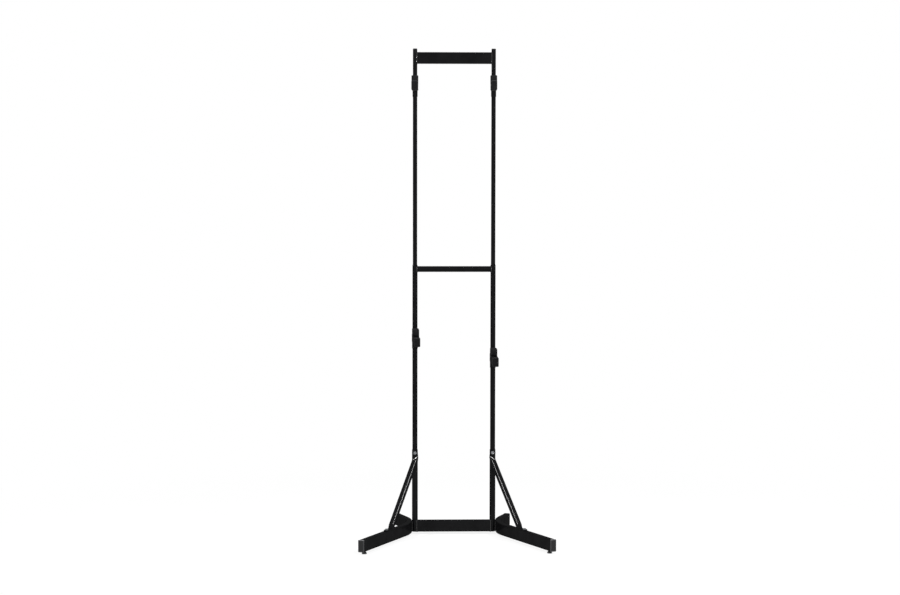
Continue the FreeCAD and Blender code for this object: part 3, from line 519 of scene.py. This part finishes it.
def triangles(piece):
    """How many triangles a piece's mesh has."""
    piece.data.calc_loop_triangles()
    return len(piece.data.loop_triangles)


# %% [markdown]
# ## Screw threads, bolts and nuts
# A real thread is a ridge that climbs by one pitch each turn, so it is made by turning a small
# triangle round the axis with the Screw modifier, and closing its two ends. A hexagon head is cut
# from six-sided bar and turned on its face, which leaves the curved corners that the overlap of a
# hexagon and a blunt cone gives.

# %% Thread, bolt and nut masters
M8_RADIUS = 4.0 * MM
M8_PITCH = 1.25 * MM
M8_FLATS = 13.0 * MM
HEAD_HEIGHT = 5.3 * MM
NUT_HEIGHT = 6.5 * MM
THIN_NUT_HEIGHT = 4.0 * MM
FLANGE_RADIUS = 7.5 * MM
FLANGE_HEIGHT = 1.6 * MM
FLANGE_ROUNDING = 0.55 * FLANGE_HEIGHT
BOLT_EDGE = 0.15 * MM
NUT_EDGE = 0.2 * MM
BORE_PLAY = 0.05 * MM
THREAD_DEPTH = 0.7 * MM
THREAD_CHAMFER = 0.6 * THREAD_DEPTH
TOOTH_RADIUS = 0.62 * THREAD_DEPTH
BLUNT_SHARE = 0.96
CHAMFER_SLOPE = math.radians(30)
HEXAGON_CORNER = math.cos(math.radians(30))


def threaded_rod(name, radius, pitch, low, high, sides=24):
    """A rod along Z with a thread over its whole length, its outside at the given radius."""
    core = drum(name, radius - THREAD_DEPTH, low, high, sides)
    soften(core, THREAD_CHAMFER, 1)
    bpy.ops.object.select_all(action="DESELECT")
    bpy.ops.mesh.primitive_circle_add(vertices=3, radius=TOOTH_RADIUS,
                                      location=(radius - TOOTH_RADIUS, 0, low + pitch),
                                      rotation=(math.radians(90), math.radians(90), 0))
    ridge = bpy.context.active_object
    bpy.ops.object.transform_apply(location=True, rotation=True, scale=True)
    screw = ridge.modifiers.new("screw", "SCREW")
    screw.axis = "Z"
    screw.screw_offset = pitch
    screw.iterations = int((high - low - 2 * pitch) / pitch)
    screw.steps = sides
    screw.render_steps = sides
    screw.use_merge_vertices = False
    bpy.ops.object.modifier_apply(modifier=screw.name)
    pick(ridge, "VERT", lambda vertex: True)
    bpy.ops.mesh.fill_holes(sides=4)
    bpy.ops.mesh.select_all(action="SELECT")
    bpy.ops.mesh.normals_make_consistent(inside=False)
    bpy.ops.object.mode_set(mode="OBJECT")
    only(core)
    ridge.select_set(True)
    bpy.ops.object.join()
    return core


def hexagon(name, low, high, blunt_top=True, blunt_bottom=False):
    """A length of hexagon bar whose ends are turned blunt at the corners."""
    bar = drum(name, M8_FLATS / 2 / HEXAGON_CORNER, low, high, 6)
    face = M8_FLATS / 2 * BLUNT_SHARE
    grown = face + (high - low) / math.tan(CHAMFER_SLOPE)
    if blunt_top:
        combine(bar, drum("blunt", grown, low, high, 72, face), "INTERSECT")
    if blunt_bottom:
        combine(bar, drum("blunt", face, low, high, 72, grown), "INTERSECT")
    return bar


def flange_bolt(name, length):
    """A hexagon bolt with a flange: head above its origin and shank below."""
    bolt = hexagon(name, 0.0, HEAD_HEIGHT)
    flange = drum("flange", FLANGE_RADIUS, 0.0, FLANGE_HEIGHT, 72)
    pick(flange, "EDGE", lambda edge: all(v.co.z > FLANGE_HEIGHT / 2 for v in edge.verts))
    bpy.ops.mesh.bevel(offset=FLANGE_ROUNDING, segments=3, affect="EDGES")
    combine(bolt, only(flange), "UNION")
    combine(bolt, drum("shank", M8_RADIUS - THREAD_DEPTH / 2, -length / 2, M8_PITCH, 24), "UNION")
    soften(bolt, BOLT_EDGE, 2, 25.0)
    rod = threaded_rod("thread", M8_RADIUS, M8_PITCH, -length, -length / 2)
    only(bolt)
    rod.select_set(True)
    bpy.ops.object.join()
    return bolt


def hexagon_nut(name, height):
    """A nut with both faces blunted and a countersunk bore."""
    nut = hexagon(name, 0.0, height, True, True)
    bore = M8_RADIUS + BORE_PLAY
    combine(nut, drum("bore", bore, -height, 2 * height, 48), "DIFFERENCE")
    soften(nut, NUT_EDGE, 2, 25.0)
    return nut


print("M8 thread of pitch", M8_PITCH / MM, "mm")

# %% [markdown]
# The bolt that pins a brace to its post goes right through, and a nut holds it behind. The bolt in
# the foot of a brace goes down into a nut inside the leg.

# %% Bolts and nuts in place
TO_FRONT = Matrix.Rotation(math.radians(90), 4, "X")
TO_BACK = Matrix.Rotation(math.radians(-90), 4, "X")

low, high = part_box("brace_top_bolts")
top_bolt_face = low.y + HEAD_HEIGHT
top_bolt_height = (low.z + high.z) / 2
through_length = high.y - top_bolt_face
low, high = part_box("brace_foot_bolts")
foot_bolt_x = high.x - FLANGE_RADIUS
foot_bolt_y = (low.y + high.y) / 2
foot_bolt_face = high.z - HEAD_HEIGHT
foot_bolt_length = foot_bolt_face - low.z
rear_nut_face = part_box("left_lower_post")[1].y
leg_low, leg_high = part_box("left_leg")
TUBE_WALL = 1.6 * MM

long_bolt = flange_bolt("long_bolt", through_length)
short_bolt = flange_bolt("short_bolt", foot_bolt_length)
full_nut = hexagon_nut("full_nut", NUT_HEIGHT)
thin_nut = hexagon_nut("thin_nut", THIN_NUT_HEIGHT)
foot_points = [(f"{side}_{end}", middle(f"{side}_{end}_foot_pad")) for side, sign in SIDES
               for end in ("front", "rear")]
for side, sign in SIDES:
    at_post = Matrix.Translation((POST_X * sign, top_bolt_face, top_bolt_height)) @ TO_FRONT
    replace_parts(put(long_bolt, f"{side}_brace_top_bolt", at_post, "frame", "zinc"), "brace_top_bolts")
    behind = Matrix.Translation((POST_X * sign, rear_nut_face, top_bolt_height)) @ TO_BACK
    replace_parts(put(full_nut, f"{side}_brace_top_nut", behind, "frame", "zinc"), "m8_nuts")
    at_foot = Matrix.Translation((foot_bolt_x * sign, foot_bolt_y, foot_bolt_face))
    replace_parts(put(short_bolt, f"{side}_brace_foot_bolt", at_foot, "frame", "zinc"), "brace_foot_bolts")
    inside = Matrix.Translation((foot_bolt_x * sign, foot_bolt_y, leg_high.z - TUBE_WALL - NUT_HEIGHT))
    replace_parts(put(full_nut, f"{side}_brace_foot_nut", inside, "frame", "zinc"), "m8_nuts")
for corner, centre in foot_points:
    inside = Matrix.Translation((centre.x, centre.y, leg_low.z + TUBE_WALL))
    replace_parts(put(full_nut, f"{corner}_leg_nut", inside, "frame", "zinc"), "m8_nuts")
    under = Matrix.Translation((centre.x, centre.y, leg_low.z - THIN_NUT_HEIGHT))
    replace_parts(put(thin_nut, f"{corner}_lock_nut", under, "frame", "black_screws"), "foot_lock_nuts")
for master in (long_bolt, short_bolt, full_nut, thin_nut):
    print(master.name, triangles(master), "triangles")
    bpy.data.objects.remove(master)

# %% [markdown]
# ## Socket head screws
# The screws at the back of the posts and collars have a round head with a knurled side, so that
# fingers can start them, and a hexagon socket for the key. The knurl is modelled by sinking every
# other strip of the head's side.

# %% Socket head screws
HEAD_RADIUS = 5.0 * MM
SOCKET_HEAD_HEIGHT = 6.0 * MM
M6_RADIUS = 3.0 * MM
M6_PITCH = 1.0 * MM
SOCKET_FLATS = 5.0 * MM
SOCKET_DEPTH = 3.5 * MM
SOCKET_HEAD_EDGE = 0.7 * MM
KNURL_STRIPS = 60
KNURL_GAP = 0.08 * MM
KNURL_DEPTH = 0.15 * MM


def socket_head_screw(name, length):
    """A socket head screw: head above its origin and threaded shank below."""
    screw = drum(name, HEAD_RADIUS, 0.0, SOCKET_HEAD_HEIGHT, KNURL_STRIPS)
    pick(screw, "EDGE", lambda edge: all(v.co.z > SOCKET_HEAD_HEIGHT / 2 for v in edge.verts))
    bpy.ops.mesh.bevel(offset=SOCKET_HEAD_EDGE, segments=3, affect="EDGES")

    def strip(face):
        centre = face.calc_center_median()
        turn = math.degrees(math.atan2(centre.y, centre.x)) % 360
        upright = abs(face.normal.z) < 0.1
        return upright and round(turn / 360 * KNURL_STRIPS - 0.5) % 2 == 0

    pick(screw, "FACE", strip)
    bpy.ops.mesh.inset(thickness=KNURL_GAP, depth=-KNURL_DEPTH, use_individual=True)
    key_hole = drum("key_hole", SOCKET_FLATS / 2 / HEXAGON_CORNER, SOCKET_HEAD_HEIGHT - SOCKET_DEPTH,
                    SOCKET_HEAD_HEIGHT * 2, 6)
    combine(only(screw), key_hole, "DIFFERENCE")
    only(screw)
    bpy.ops.object.shade_smooth_by_angle(angle=math.radians(25))
    rod = threaded_rod("thread", M6_RADIUS, M6_PITCH, -length, M6_PITCH)
    only(screw)
    rod.select_set(True)
    bpy.ops.object.join()
    return screw


low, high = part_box("post_lock_screws")
lock_screw = socket_head_screw("lock_screw", high.y - SOCKET_HEAD_HEIGHT - low.y)
lock_height = (low.z + high.z) / 2
for side, sign in SIDES:
    place = Matrix.Translation((POST_X * sign, high.y - SOCKET_HEAD_HEIGHT, lock_height)) @ TO_BACK
    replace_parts(put(lock_screw, f"{side}_post_lock_screw", place, "frame", "black_screws"),
                "post_lock_screws")
print("lock screw", triangles(lock_screw), "triangles")
bpy.data.objects.remove(lock_screw)


def arm_frame(arm, sign, height):
    """The place of an arm's own frame: on the post's axis, turned the way the arm points."""
    tip = middle(f"{arm}_arm_cap")
    turn = math.atan2(tip.x - POST_X * sign, POST_Y - tip.y)
    return Matrix.Translation((POST_X * sign, POST_Y, height)) @ Matrix.Rotation(turn, 4, "Z")


for arm, sign in ARMS:
    low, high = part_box(f"{arm}_clamp_screw")
    reach = high.y - POST_Y - SOCKET_HEAD_HEIGHT
    length = high.y - SOCKET_HEAD_HEIGHT - low.y
    master = socket_head_screw("clamp_screw", length)
    place = arm_frame(arm, sign, (low.z + high.z) / 2) @ Matrix.Translation((0, reach, 0)) @ TO_BACK
    piece = put(master, f"{arm}_clamp_screw_knurled", place, f"{arm}_clamp_screw", "black_screws")
    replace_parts(piece, f"{arm}_clamp_screw")
    bpy.data.objects.remove(master)

# %% [markdown]
# ## Levelling feet
# A levelling foot is a nylon pad that swivels on the end of a threaded stud. The pad is moulded with
# a rounded rim on the floor and finger ribs above it. It starts as a drum whose top is inset and
# drawn up, and every other strip of its side is drawn out into a rib.

# %% Foot pads and studs
low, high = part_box("left_front_foot_pad")
PAD_RADIUS = (high.x - low.x) / 2
PAD_HEIGHT = high.z - low.z
PAD_RIM_HEIGHT = 2.6 * MM
PAD_RIM_WIDTH = 2.2 * MM
PAD_TAPER = 0.97
PAD_EDGE = 0.7 * MM
PAD_RIBS = 24
RIB_GAP = 0.12 * MM
RIB_DEPTH = 0.6 * MM
PAD_SOCKET_DEPTH = 4.5 * MM
PAD_SOCKET_PLAY = 0.1 * MM
stud_low, stud_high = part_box("left_front_foot_stud")


def foot_pad():
    """A round ribbed pad that stands on the origin."""
    pad = drum("foot_pad_master", PAD_RADIUS, 0.0, PAD_RIM_HEIGHT, PAD_RIBS * 2)
    pick(pad, "FACE", lambda face: face.normal.z > 0.9)
    bpy.ops.mesh.inset(thickness=PAD_RIM_WIDTH)
    bpy.ops.mesh.extrude_region_move(TRANSFORM_OT_translate={"value": (0, 0, PAD_HEIGHT - PAD_RIM_HEIGHT)})
    bpy.ops.transform.resize(value=(PAD_TAPER, PAD_TAPER, 1))

    def strip(face):
        centre = face.calc_center_median()
        turn = math.degrees(math.atan2(centre.y, centre.x)) % 360
        upright = abs(face.normal.z) < 0.3 and centre.z > PAD_RIM_HEIGHT
        return upright and round(turn / 360 * PAD_RIBS * 2 - 0.5) % 2 == 0

    pick(pad, "FACE", strip)
    bpy.ops.mesh.inset(thickness=RIB_GAP, depth=RIB_DEPTH, use_individual=True)
    pick(pad, "EDGE", lambda edge: all(abs(v.co.xy.length - PAD_RADIUS) < 0.1 * MM for v in edge.verts)
         and abs(edge.verts[0].co.z - edge.verts[1].co.z) < 0.1 * MM)
    bpy.ops.mesh.bevel(offset=PAD_EDGE, segments=3, affect="EDGES")
    socket = drum("socket", M8_RADIUS + PAD_SOCKET_PLAY, PAD_HEIGHT - PAD_SOCKET_DEPTH, PAD_HEIGHT * 2, 32)
    combine(only(pad), socket, "DIFFERENCE")
    only(pad)
    bpy.ops.object.shade_smooth_by_angle(angle=math.radians(30))
    return pad


pad_master = foot_pad()
stud_master = threaded_rod("stud_master", M8_RADIUS, M8_PITCH, 0.0, stud_high.z - stud_low.z)
for corner, centre in foot_points:
    on_floor = Matrix.Translation((centre.x, centre.y, 0.0))
    piece = put(pad_master, f"{corner}_ribbed_foot", on_floor, f"{corner}_foot_pad", "plastic")
    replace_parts(piece, f"{corner}_foot_pad")
    in_pad = Matrix.Translation((centre.x, centre.y, stud_low.z))
    piece = put(stud_master, f"{corner}_threaded_stud", in_pad, f"{corner}_foot_stud", "zinc")
    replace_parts(piece, f"{corner}_foot_stud")
print("foot", triangles(pad_master), "and stud", triangles(stud_master), "triangles")
bpy.data.objects.remove(pad_master)
bpy.data.objects.remove(stud_master)

# %% [markdown]
# ## End caps
# The open ends of the rectangular tubes are closed with push-in plastic caps. Their outer edges are
# well rounded, because people bump into them, and it is these edges that catch the light. Each cap
# starts as a block. Its long edges are rounded with many steps and its front edge after them, and
# its face gets a shallow panel with the mark where the plastic entered the mould.

# %% End caps
CAP_RIM = 3.0 * MM
CAP_PLUG = 14.0 * MM
CAP_LIP = 1.0 * MM
CAP_CORNER = 4.0 * MM
CAP_FRONT_EDGE = 0.7 * CAP_RIM
CAP_BORDER = 1.6 * MM
CAP_PANEL = 0.4 * MM
CAP_PLAY = 0.15 * MM
GATE_RADIUS = 1.2 * MM
GATE_DEPTH = 0.3 * MM


def end_cap(name, width, height, wall):
    """A tube end cap: rim along minus Y from its origin, plug along plus Y."""
    half_width = width / 2 + CAP_LIP
    half_height = height / 2 + CAP_LIP
    cap = block(name, (-half_width, -CAP_RIM, -half_height), (half_width, 0, half_height))
    pick(cap, "EDGE", lambda edge: abs(edge.verts[0].co.y - edge.verts[1].co.y) > CAP_RIM / 2)
    bpy.ops.mesh.bevel(offset=CAP_CORNER, segments=6, affect="EDGES")
    pick(cap, "EDGE", lambda edge: all(v.co.y < -CAP_RIM / 2 for v in edge.verts))
    bpy.ops.mesh.bevel(offset=CAP_FRONT_EDGE, segments=5, affect="EDGES")
    pick(cap, "FACE", lambda face: face.normal.y < -0.999)
    bpy.ops.mesh.inset(thickness=CAP_BORDER)
    bpy.ops.mesh.inset(thickness=CAP_PANEL, depth=-CAP_PANEL)
    gate = drum("gate", GATE_RADIUS, -GATE_DEPTH, GATE_DEPTH, 24)
    gate.data.transform(Matrix.Translation((0, -CAP_RIM, 0)) @ TO_FRONT)
    combine(only(cap), gate, "DIFFERENCE")
    pick(cap, "FACE", lambda face: face.normal.y > 0.999 and face.calc_center_median().y > -0.1 * MM)
    bpy.ops.mesh.inset(thickness=CAP_LIP + wall + CAP_PLAY)
    bpy.ops.mesh.extrude_region_move(TRANSFORM_OT_translate={"value": (0, CAP_PLUG, 0)})
    bpy.ops.mesh.inset(thickness=wall)
    bpy.ops.mesh.extrude_region_move(TRANSFORM_OT_translate={"value": (0, -CAP_PLUG + wall, 0)})
    only(cap)
    bpy.ops.object.shade_smooth_by_angle(angle=math.radians(35))
    return cap


TUBE_WIDTH = 25.4 * MM
TUBE_HEIGHT = 50.8 * MM
BAR_WIDTH = 25.4 * MM
BAR_HEIGHT = 38.1 * MM
LEG_FRONT_TURN = math.radians(25.5)
LEG_REAR_TURN = math.radians(21.3)
CAP_EDGE = 1.0 * MM


def rim_reach(heading, width, x_way, y_way):
    """How far the rim of a turned cap reaches sideways and forwards from the cap's own origin."""
    inset = width / 2 + CAP_LIP - CAP_EDGE
    corners = [heading @ Vector((end * inset, CAP_EDGE - CAP_RIM, 0)) for end in (-1, 1)]
    sideways = max(corner.x * x_way for corner in corners) + CAP_EDGE
    forwards = max(corner.y * y_way for corner in corners) + CAP_EDGE
    return sideways, forwards


leg_cap = end_cap("leg_cap_master", TUBE_WIDTH, TUBE_HEIGHT, TUBE_WALL)
for side, sign in SIDES:
    for end, y_way in (("front", -1), ("rear", 1)):
        node = f"{side}_{end}_leg_cap"
        turn = LEG_FRONT_TURN * sign if end == "front" else math.pi - LEG_REAR_TURN * sign
        heading = Matrix.Rotation(turn, 4, "Z")
        sideways, forwards = rim_reach(heading, TUBE_WIDTH, sign, y_way)
        low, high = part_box(node)
        centre = Vector(((high.x if sign > 0 else low.x) - sideways * sign,
                         (low.y if y_way < 0 else high.y) - forwards * y_way, (low.z + high.z) / 2))
        place = Matrix.Translation(centre) @ heading
        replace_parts(put(leg_cap, f"{side}_{end}_moulded_cap", place, "frame", "plastic"), node)
print("leg cap", triangles(leg_cap), "triangles")
bpy.data.objects.remove(leg_cap)

bar_cap = end_cap("bar_cap_master", BAR_WIDTH, BAR_HEIGHT, TUBE_WALL)
for arm, sign in ARMS:
    tip = middle(f"{arm}_arm_cap")
    reach = math.hypot(tip.x - POST_X * sign, tip.y - POST_Y) - (CAP_PLUG - CAP_RIM) / 2 + CAP_PLUG - CAP_RIM
    place = arm_frame(arm, sign, tip.z) @ Matrix.Translation((0, -reach, 0))
    piece = put(bar_cap, f"{arm}_moulded_cap", place, f"{arm}_arm", "plastic")
    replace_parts(piece, f"{arm}_arm_cap")
    print(arm, "cap", round(reach / MM, 1), "mm from its post")
bpy.data.objects.remove(bar_cap)

# %% [markdown]
# ## Rubber cradles
# Each arm carries a rubber saddle with a round seat across it, moulded as one block that snaps over
# the bar. The block is shaped from a box: its upper edges are rounded, the seat is cut with a drum
# lying on its side, narrow drums press grip grooves into the seat, and a channel frees the bar.

# %% Cradles
CRADLE_FRONT = 98.0 * MM
CRADLE_LENGTH = 64.0 * MM
CRADLE_WIDTH = 29.0 * MM
CRADLE_RISE = 26.0 * MM
CRADLE_SEAT = 12.5 * MM
CRADLE_SKIRT = 10.0 * MM
SEAT_RADIUS = 19.0 * MM
CRADLE_ROUNDING = 3.0 * MM
CRADLE_EDGE = 0.45 * MM
SKIRT_FIT = 0.2 * MM
GROOVE_RADIUS = 1.1 * MM
GROOVE_TURNS = (-44, -22, 0, 22, 44)
ALONG_X = Matrix.Rotation(math.radians(90), 4, "Y")


def cross_drum(name, radius, y, z, sides):
    """A drum that lies across the arm."""
    bar = drum(name, radius, -CRADLE_WIDTH, CRADLE_WIDTH, sides)
    bar.data.transform(Matrix.Translation((0, y, z)) @ ALONG_X)
    return bar


def cradle():
    """A saddle along the arm: its origin is on the post's axis, at the height of the bar's top."""
    back = CRADLE_LENGTH - CRADLE_FRONT
    half = CRADLE_WIDTH / 2
    saddle = block("cradle_master", (-half, -CRADLE_FRONT, -CRADLE_SKIRT), (half, back, CRADLE_RISE))
    pick(saddle, "EDGE", lambda edge: max(v.co.z for v in edge.verts) > 0)
    bpy.ops.mesh.bevel(offset=CRADLE_ROUNDING, segments=4, affect="EDGES")
    middle_y = back - CRADLE_LENGTH / 2
    seat_z = CRADLE_SEAT + SEAT_RADIUS
    combine(only(saddle), cross_drum("seat", SEAT_RADIUS, middle_y, seat_z, 96), "DIFFERENCE")
    for degrees in GROOVE_TURNS:
        turn = math.radians(degrees)
        groove_y = middle_y + SEAT_RADIUS * math.sin(turn)
        groove_z = seat_z - SEAT_RADIUS * math.cos(turn)
        combine(saddle, cross_drum("groove", GROOVE_RADIUS, groove_y, groove_z, 16), "DIFFERENCE")
    gap = BAR_WIDTH / 2 + SKIRT_FIT
    channel = block("channel", (-gap, -2 * CRADLE_FRONT, -2 * CRADLE_SKIRT), (gap, CRADLE_FRONT, 0))
    combine(saddle, channel, "DIFFERENCE")
    soften(saddle, CRADLE_EDGE, 2, 35.0)
    return saddle


cradle_master = cradle()
for arm, sign in ARMS:
    bar_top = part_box(f"{arm}_cradle")[0].z + CRADLE_SKIRT
    piece = put(cradle_master, f"{arm}_grooved_cradle", arm_frame(arm, sign, bar_top), f"{arm}_arm", "rubber")
    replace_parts(piece, f"{arm}_cradle")
    print(arm, "bar top at", round(bar_top / MM, 1), "mm")
print("cradle", triangles(cradle_master), "triangles")
bpy.data.objects.remove(cradle_master)

# %% [markdown]
# ## Weld beads
# The crossbars, legs and arms are welded to the posts and sleeves with a wire-fed torch, which lays
# one ripple after another. A bead follows its seam, so it starts as a curve along the line where
# the two surfaces meet. The curve's round section swells and shrinks with each ripple, and the
# curve is then made a mesh. Half of it lies inside the metal, as a bead melts in.

# %% Weld beads
RIPPLE = 2.0 * MM
RIPPLE_STEP = 0.5 * MM
RIPPLE_DEPTH = 0.18


def rod(name, seam, thickness, shares, place, body, finish):
    """A round strip along a closed or open line of points, at each as thick as its share says."""
    curve = bpy.data.curves.new(name, "CURVE")
    curve.dimensions = "3D"
    curve.bevel_depth = thickness
    curve.bevel_resolution = 2
    curve.use_fill_caps = True
    line = curve.splines.new("POLY")
    line.points.add(len(seam) - 1)
    for point, here, share in zip(line.points, seam, shares):
        point.co = (*here, 1.0)
        point.radius = share
    line.use_cyclic_u = (seam[0] - seam[-1]).length < 2 * RIPPLE_STEP
    piece = bpy.data.objects.new(name, curve)
    bpy.context.scene.collection.objects.link(piece)
    only(piece)
    bpy.ops.object.convert(target="MESH")
    piece = bpy.context.active_object
    piece.data.transform(place)
    piece.data.materials.clear()
    piece.data.materials.append(finish)
    only(piece)
    bpy.ops.object.shade_smooth_by_angle(angle=math.radians(60))
    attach(piece, body)
    return piece


def bead(name, seam, thickness, place, body):
    """A rippled weld along a closed or open line of points."""
    travelled = 0.0
    shares = []
    for index, here in enumerate(seam):
        if index:
            travelled += (here - seam[index - 1]).length
        shares.append(1.0 - RIPPLE_DEPTH * abs(math.sin(math.pi * travelled / RIPPLE)))
    return rod(name, seam, thickness, shares, place, body, thick_powder_coat)


def evenly(outline):
    """Points a ripple step apart along a closed outline of corner points."""
    points = []
    for start, end in zip(outline, outline[1:] + outline[:1]):
        count = max(1, round((end - start).length / RIPPLE_STEP))
        points += [start.lerp(end, step / count) for step in range(count)]
    return points


def section(width, height, corner):
    """The outline of a bar's end as points across (x) and up (y), with rounded corners."""
    points = []
    for quarter, (x, y) in enumerate(((1, 1), (-1, 1), (-1, -1), (1, -1))):
        centre = Vector((x * (width / 2 - corner), y * (height / 2 - corner)))
        for step in range(7):
            angle = math.radians(90 * quarter + 15 * step)
            points.append(centre + corner * Vector((math.cos(angle), math.sin(angle))))
    return evenly(points)


def seam_round_post(outline, radius, setback=0.0):
    """Where a bar along X meets a post on the origin's Z axis: the outline laid on the post."""
    seam = []
    for point in outline:
        on_post = math.sqrt(max(radius ** 2 - point.x ** 2, 0.0))
        seam.append(Vector((max(on_post, setback), point.x, point.y)))
    return seam


def radius_of(node):
    """The radius of an upright round node, from its box."""
    low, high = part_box(node)
    return (high.x - low.x) / 2


LOWER_RADIUS = radius_of("left_lower_post")
MIDDLE_RADIUS = radius_of("left_middle_post")
UPPER_RADIUS = radius_of("left_upper_post")
BAR_SETBACK = 8.0 * MM
BASE_CORNER = 3.0 * MM
BASE_BEAD = 1.7 * MM
BAR_BEAD = 1.5 * MM
PLATE_BEAD = 1.3 * MM
PLATE_DEPTH = 12.7 * MM
bar_radius = (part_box("middle_crossbar")[1].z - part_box("middle_crossbar")[0].z) / 2
crossbars = (
    ("base_crossbar", section(TUBE_WIDTH, TUBE_HEIGHT, BASE_CORNER), LOWER_RADIUS, BASE_BEAD),
    ("middle_crossbar", section(2 * bar_radius, 2 * bar_radius, bar_radius * 0.999), MIDDLE_RADIUS, BAR_BEAD),
    ("top_plate", section(PLATE_DEPTH, TUBE_HEIGHT, BASE_CORNER), UPPER_RADIUS, PLATE_BEAD),
)
beads = []
for node, outline, radius, thickness in crossbars:
    for side, sign in SIDES:
        inward = Matrix.Rotation(math.pi if sign > 0 else 0.0, 4, "Z")
        place = Matrix.Translation((POST_X * sign, POST_Y, middle(node).z)) @ inward
        seam = seam_round_post(outline, radius, BAR_SETBACK)
        beads.append(bead(f"{side}_{node}_weld", seam, thickness, place, "frame"))
ARM_CORNER = 2.5 * MM
ARM_BEAD = 1.4 * MM
TOWARDS_ARM = Matrix.Rotation(math.radians(-90), 4, "Z")
for arm, sign in ARMS:
    seam = seam_round_post(section(BAR_WIDTH, BAR_HEIGHT, ARM_CORNER), radius_of(f"{arm}_sleeve"))
    place = arm_frame(arm, sign, middle(f"{arm}_arm_bar").z) @ TOWARDS_ARM
    beads.append(bead(f"{arm}_weld", seam, ARM_BEAD, place, f"{arm}_arm"))
LEG_BEAD = 1.8 * MM
LEG_BEAD_OFFSET = 6.0 * MM
leg_seam_x = math.sqrt(LOWER_RADIUS ** 2 - LEG_BEAD_OFFSET ** 2) + LEG_BEAD * 0.5
seam_length = leg_high.z - leg_low.z - 4 * LEG_BEAD
seam_steps = round(seam_length / RIPPLE_STEP)
for side, sign in SIDES:
    for end, y_way in (("front", -1), ("rear", 1)):
        foot_of_seam = Vector((leg_seam_x * sign, LEG_BEAD_OFFSET * y_way, leg_low.z + 2 * LEG_BEAD))
        seam = [foot_of_seam + Vector((0, 0, seam_length * step / seam_steps))
                for step in range(seam_steps + 1)]
        place = Matrix.Translation((POST_X * sign, POST_Y, 0))
        beads.append(bead(f"{side}_leg_{end}_weld", seam, LEG_BEAD, place, "frame"))
print(len(beads), "welds,", sum(triangles(piece) for piece in beads), "triangles")

# %% [markdown]
# ## The crease at the top of a brace
# The upper end of a brace is pressed flat to lie on its post. Both ends are pressed the same way up,
# so the crease where the flat turns into the round tube runs aslant. The powder flows together in
# it and bakes to a thick glossy line, which is the brightest spot of the whole brace. The two ends
# of the line are found by looking at the brace from the front: a ray meets the CAD surface.

# %% Creases
CREASE_DROP = 21.4 * MM
CREASE_SHIFT = 2.5 * MM
CREASE_LENGTH = 24.0 * MM
CREASE_SLANT = math.radians(29.5)
CREASE_RADIUS = 2.3 * MM
CREASE_FORWARD = 0.8 * MM
CREASE_STEPS = 24
CREASE_END_SHARE = 0.5


def brace_front(side):
    """A function that tells where a ray from a point towards the back meets a brace."""
    mesh = frame["nodes"][f"{side}_brace"].data
    surface = BVHTree.FromPolygons([v.co for v in mesh.vertices], [p.vertices for p in mesh.polygons])
    return lambda point: surface.ray_cast(point, Vector((0, 1, 0)))[0]


for side, sign in SIDES:
    centre = Vector((sign * (POST_X - CREASE_SHIFT), cad_low[1], top_bolt_height - CREASE_DROP))
    along = Vector((-sign * math.cos(CREASE_SLANT), 0, math.sin(CREASE_SLANT))) * CREASE_LENGTH / 2
    meets = brace_front(side)
    start, end = meets(centre - along), meets(centre + along)
    start.y -= CREASE_FORWARD
    end.y -= CREASE_FORWARD
    steps = [step / CREASE_STEPS for step in range(CREASE_STEPS + 1)]
    shares = [CREASE_END_SHARE + (1 - CREASE_END_SHARE) * math.sin(math.pi * share) for share in steps]
    rod(f"{side}_brace_crease", [start.lerp(end, share) for share in steps], CREASE_RADIUS, shares,
        Matrix.Identity(4), "frame", creased_powder_coat)
    print(side, "crease from", [round(v, 4) for v in start], "to", [round(v, 4) for v in end])
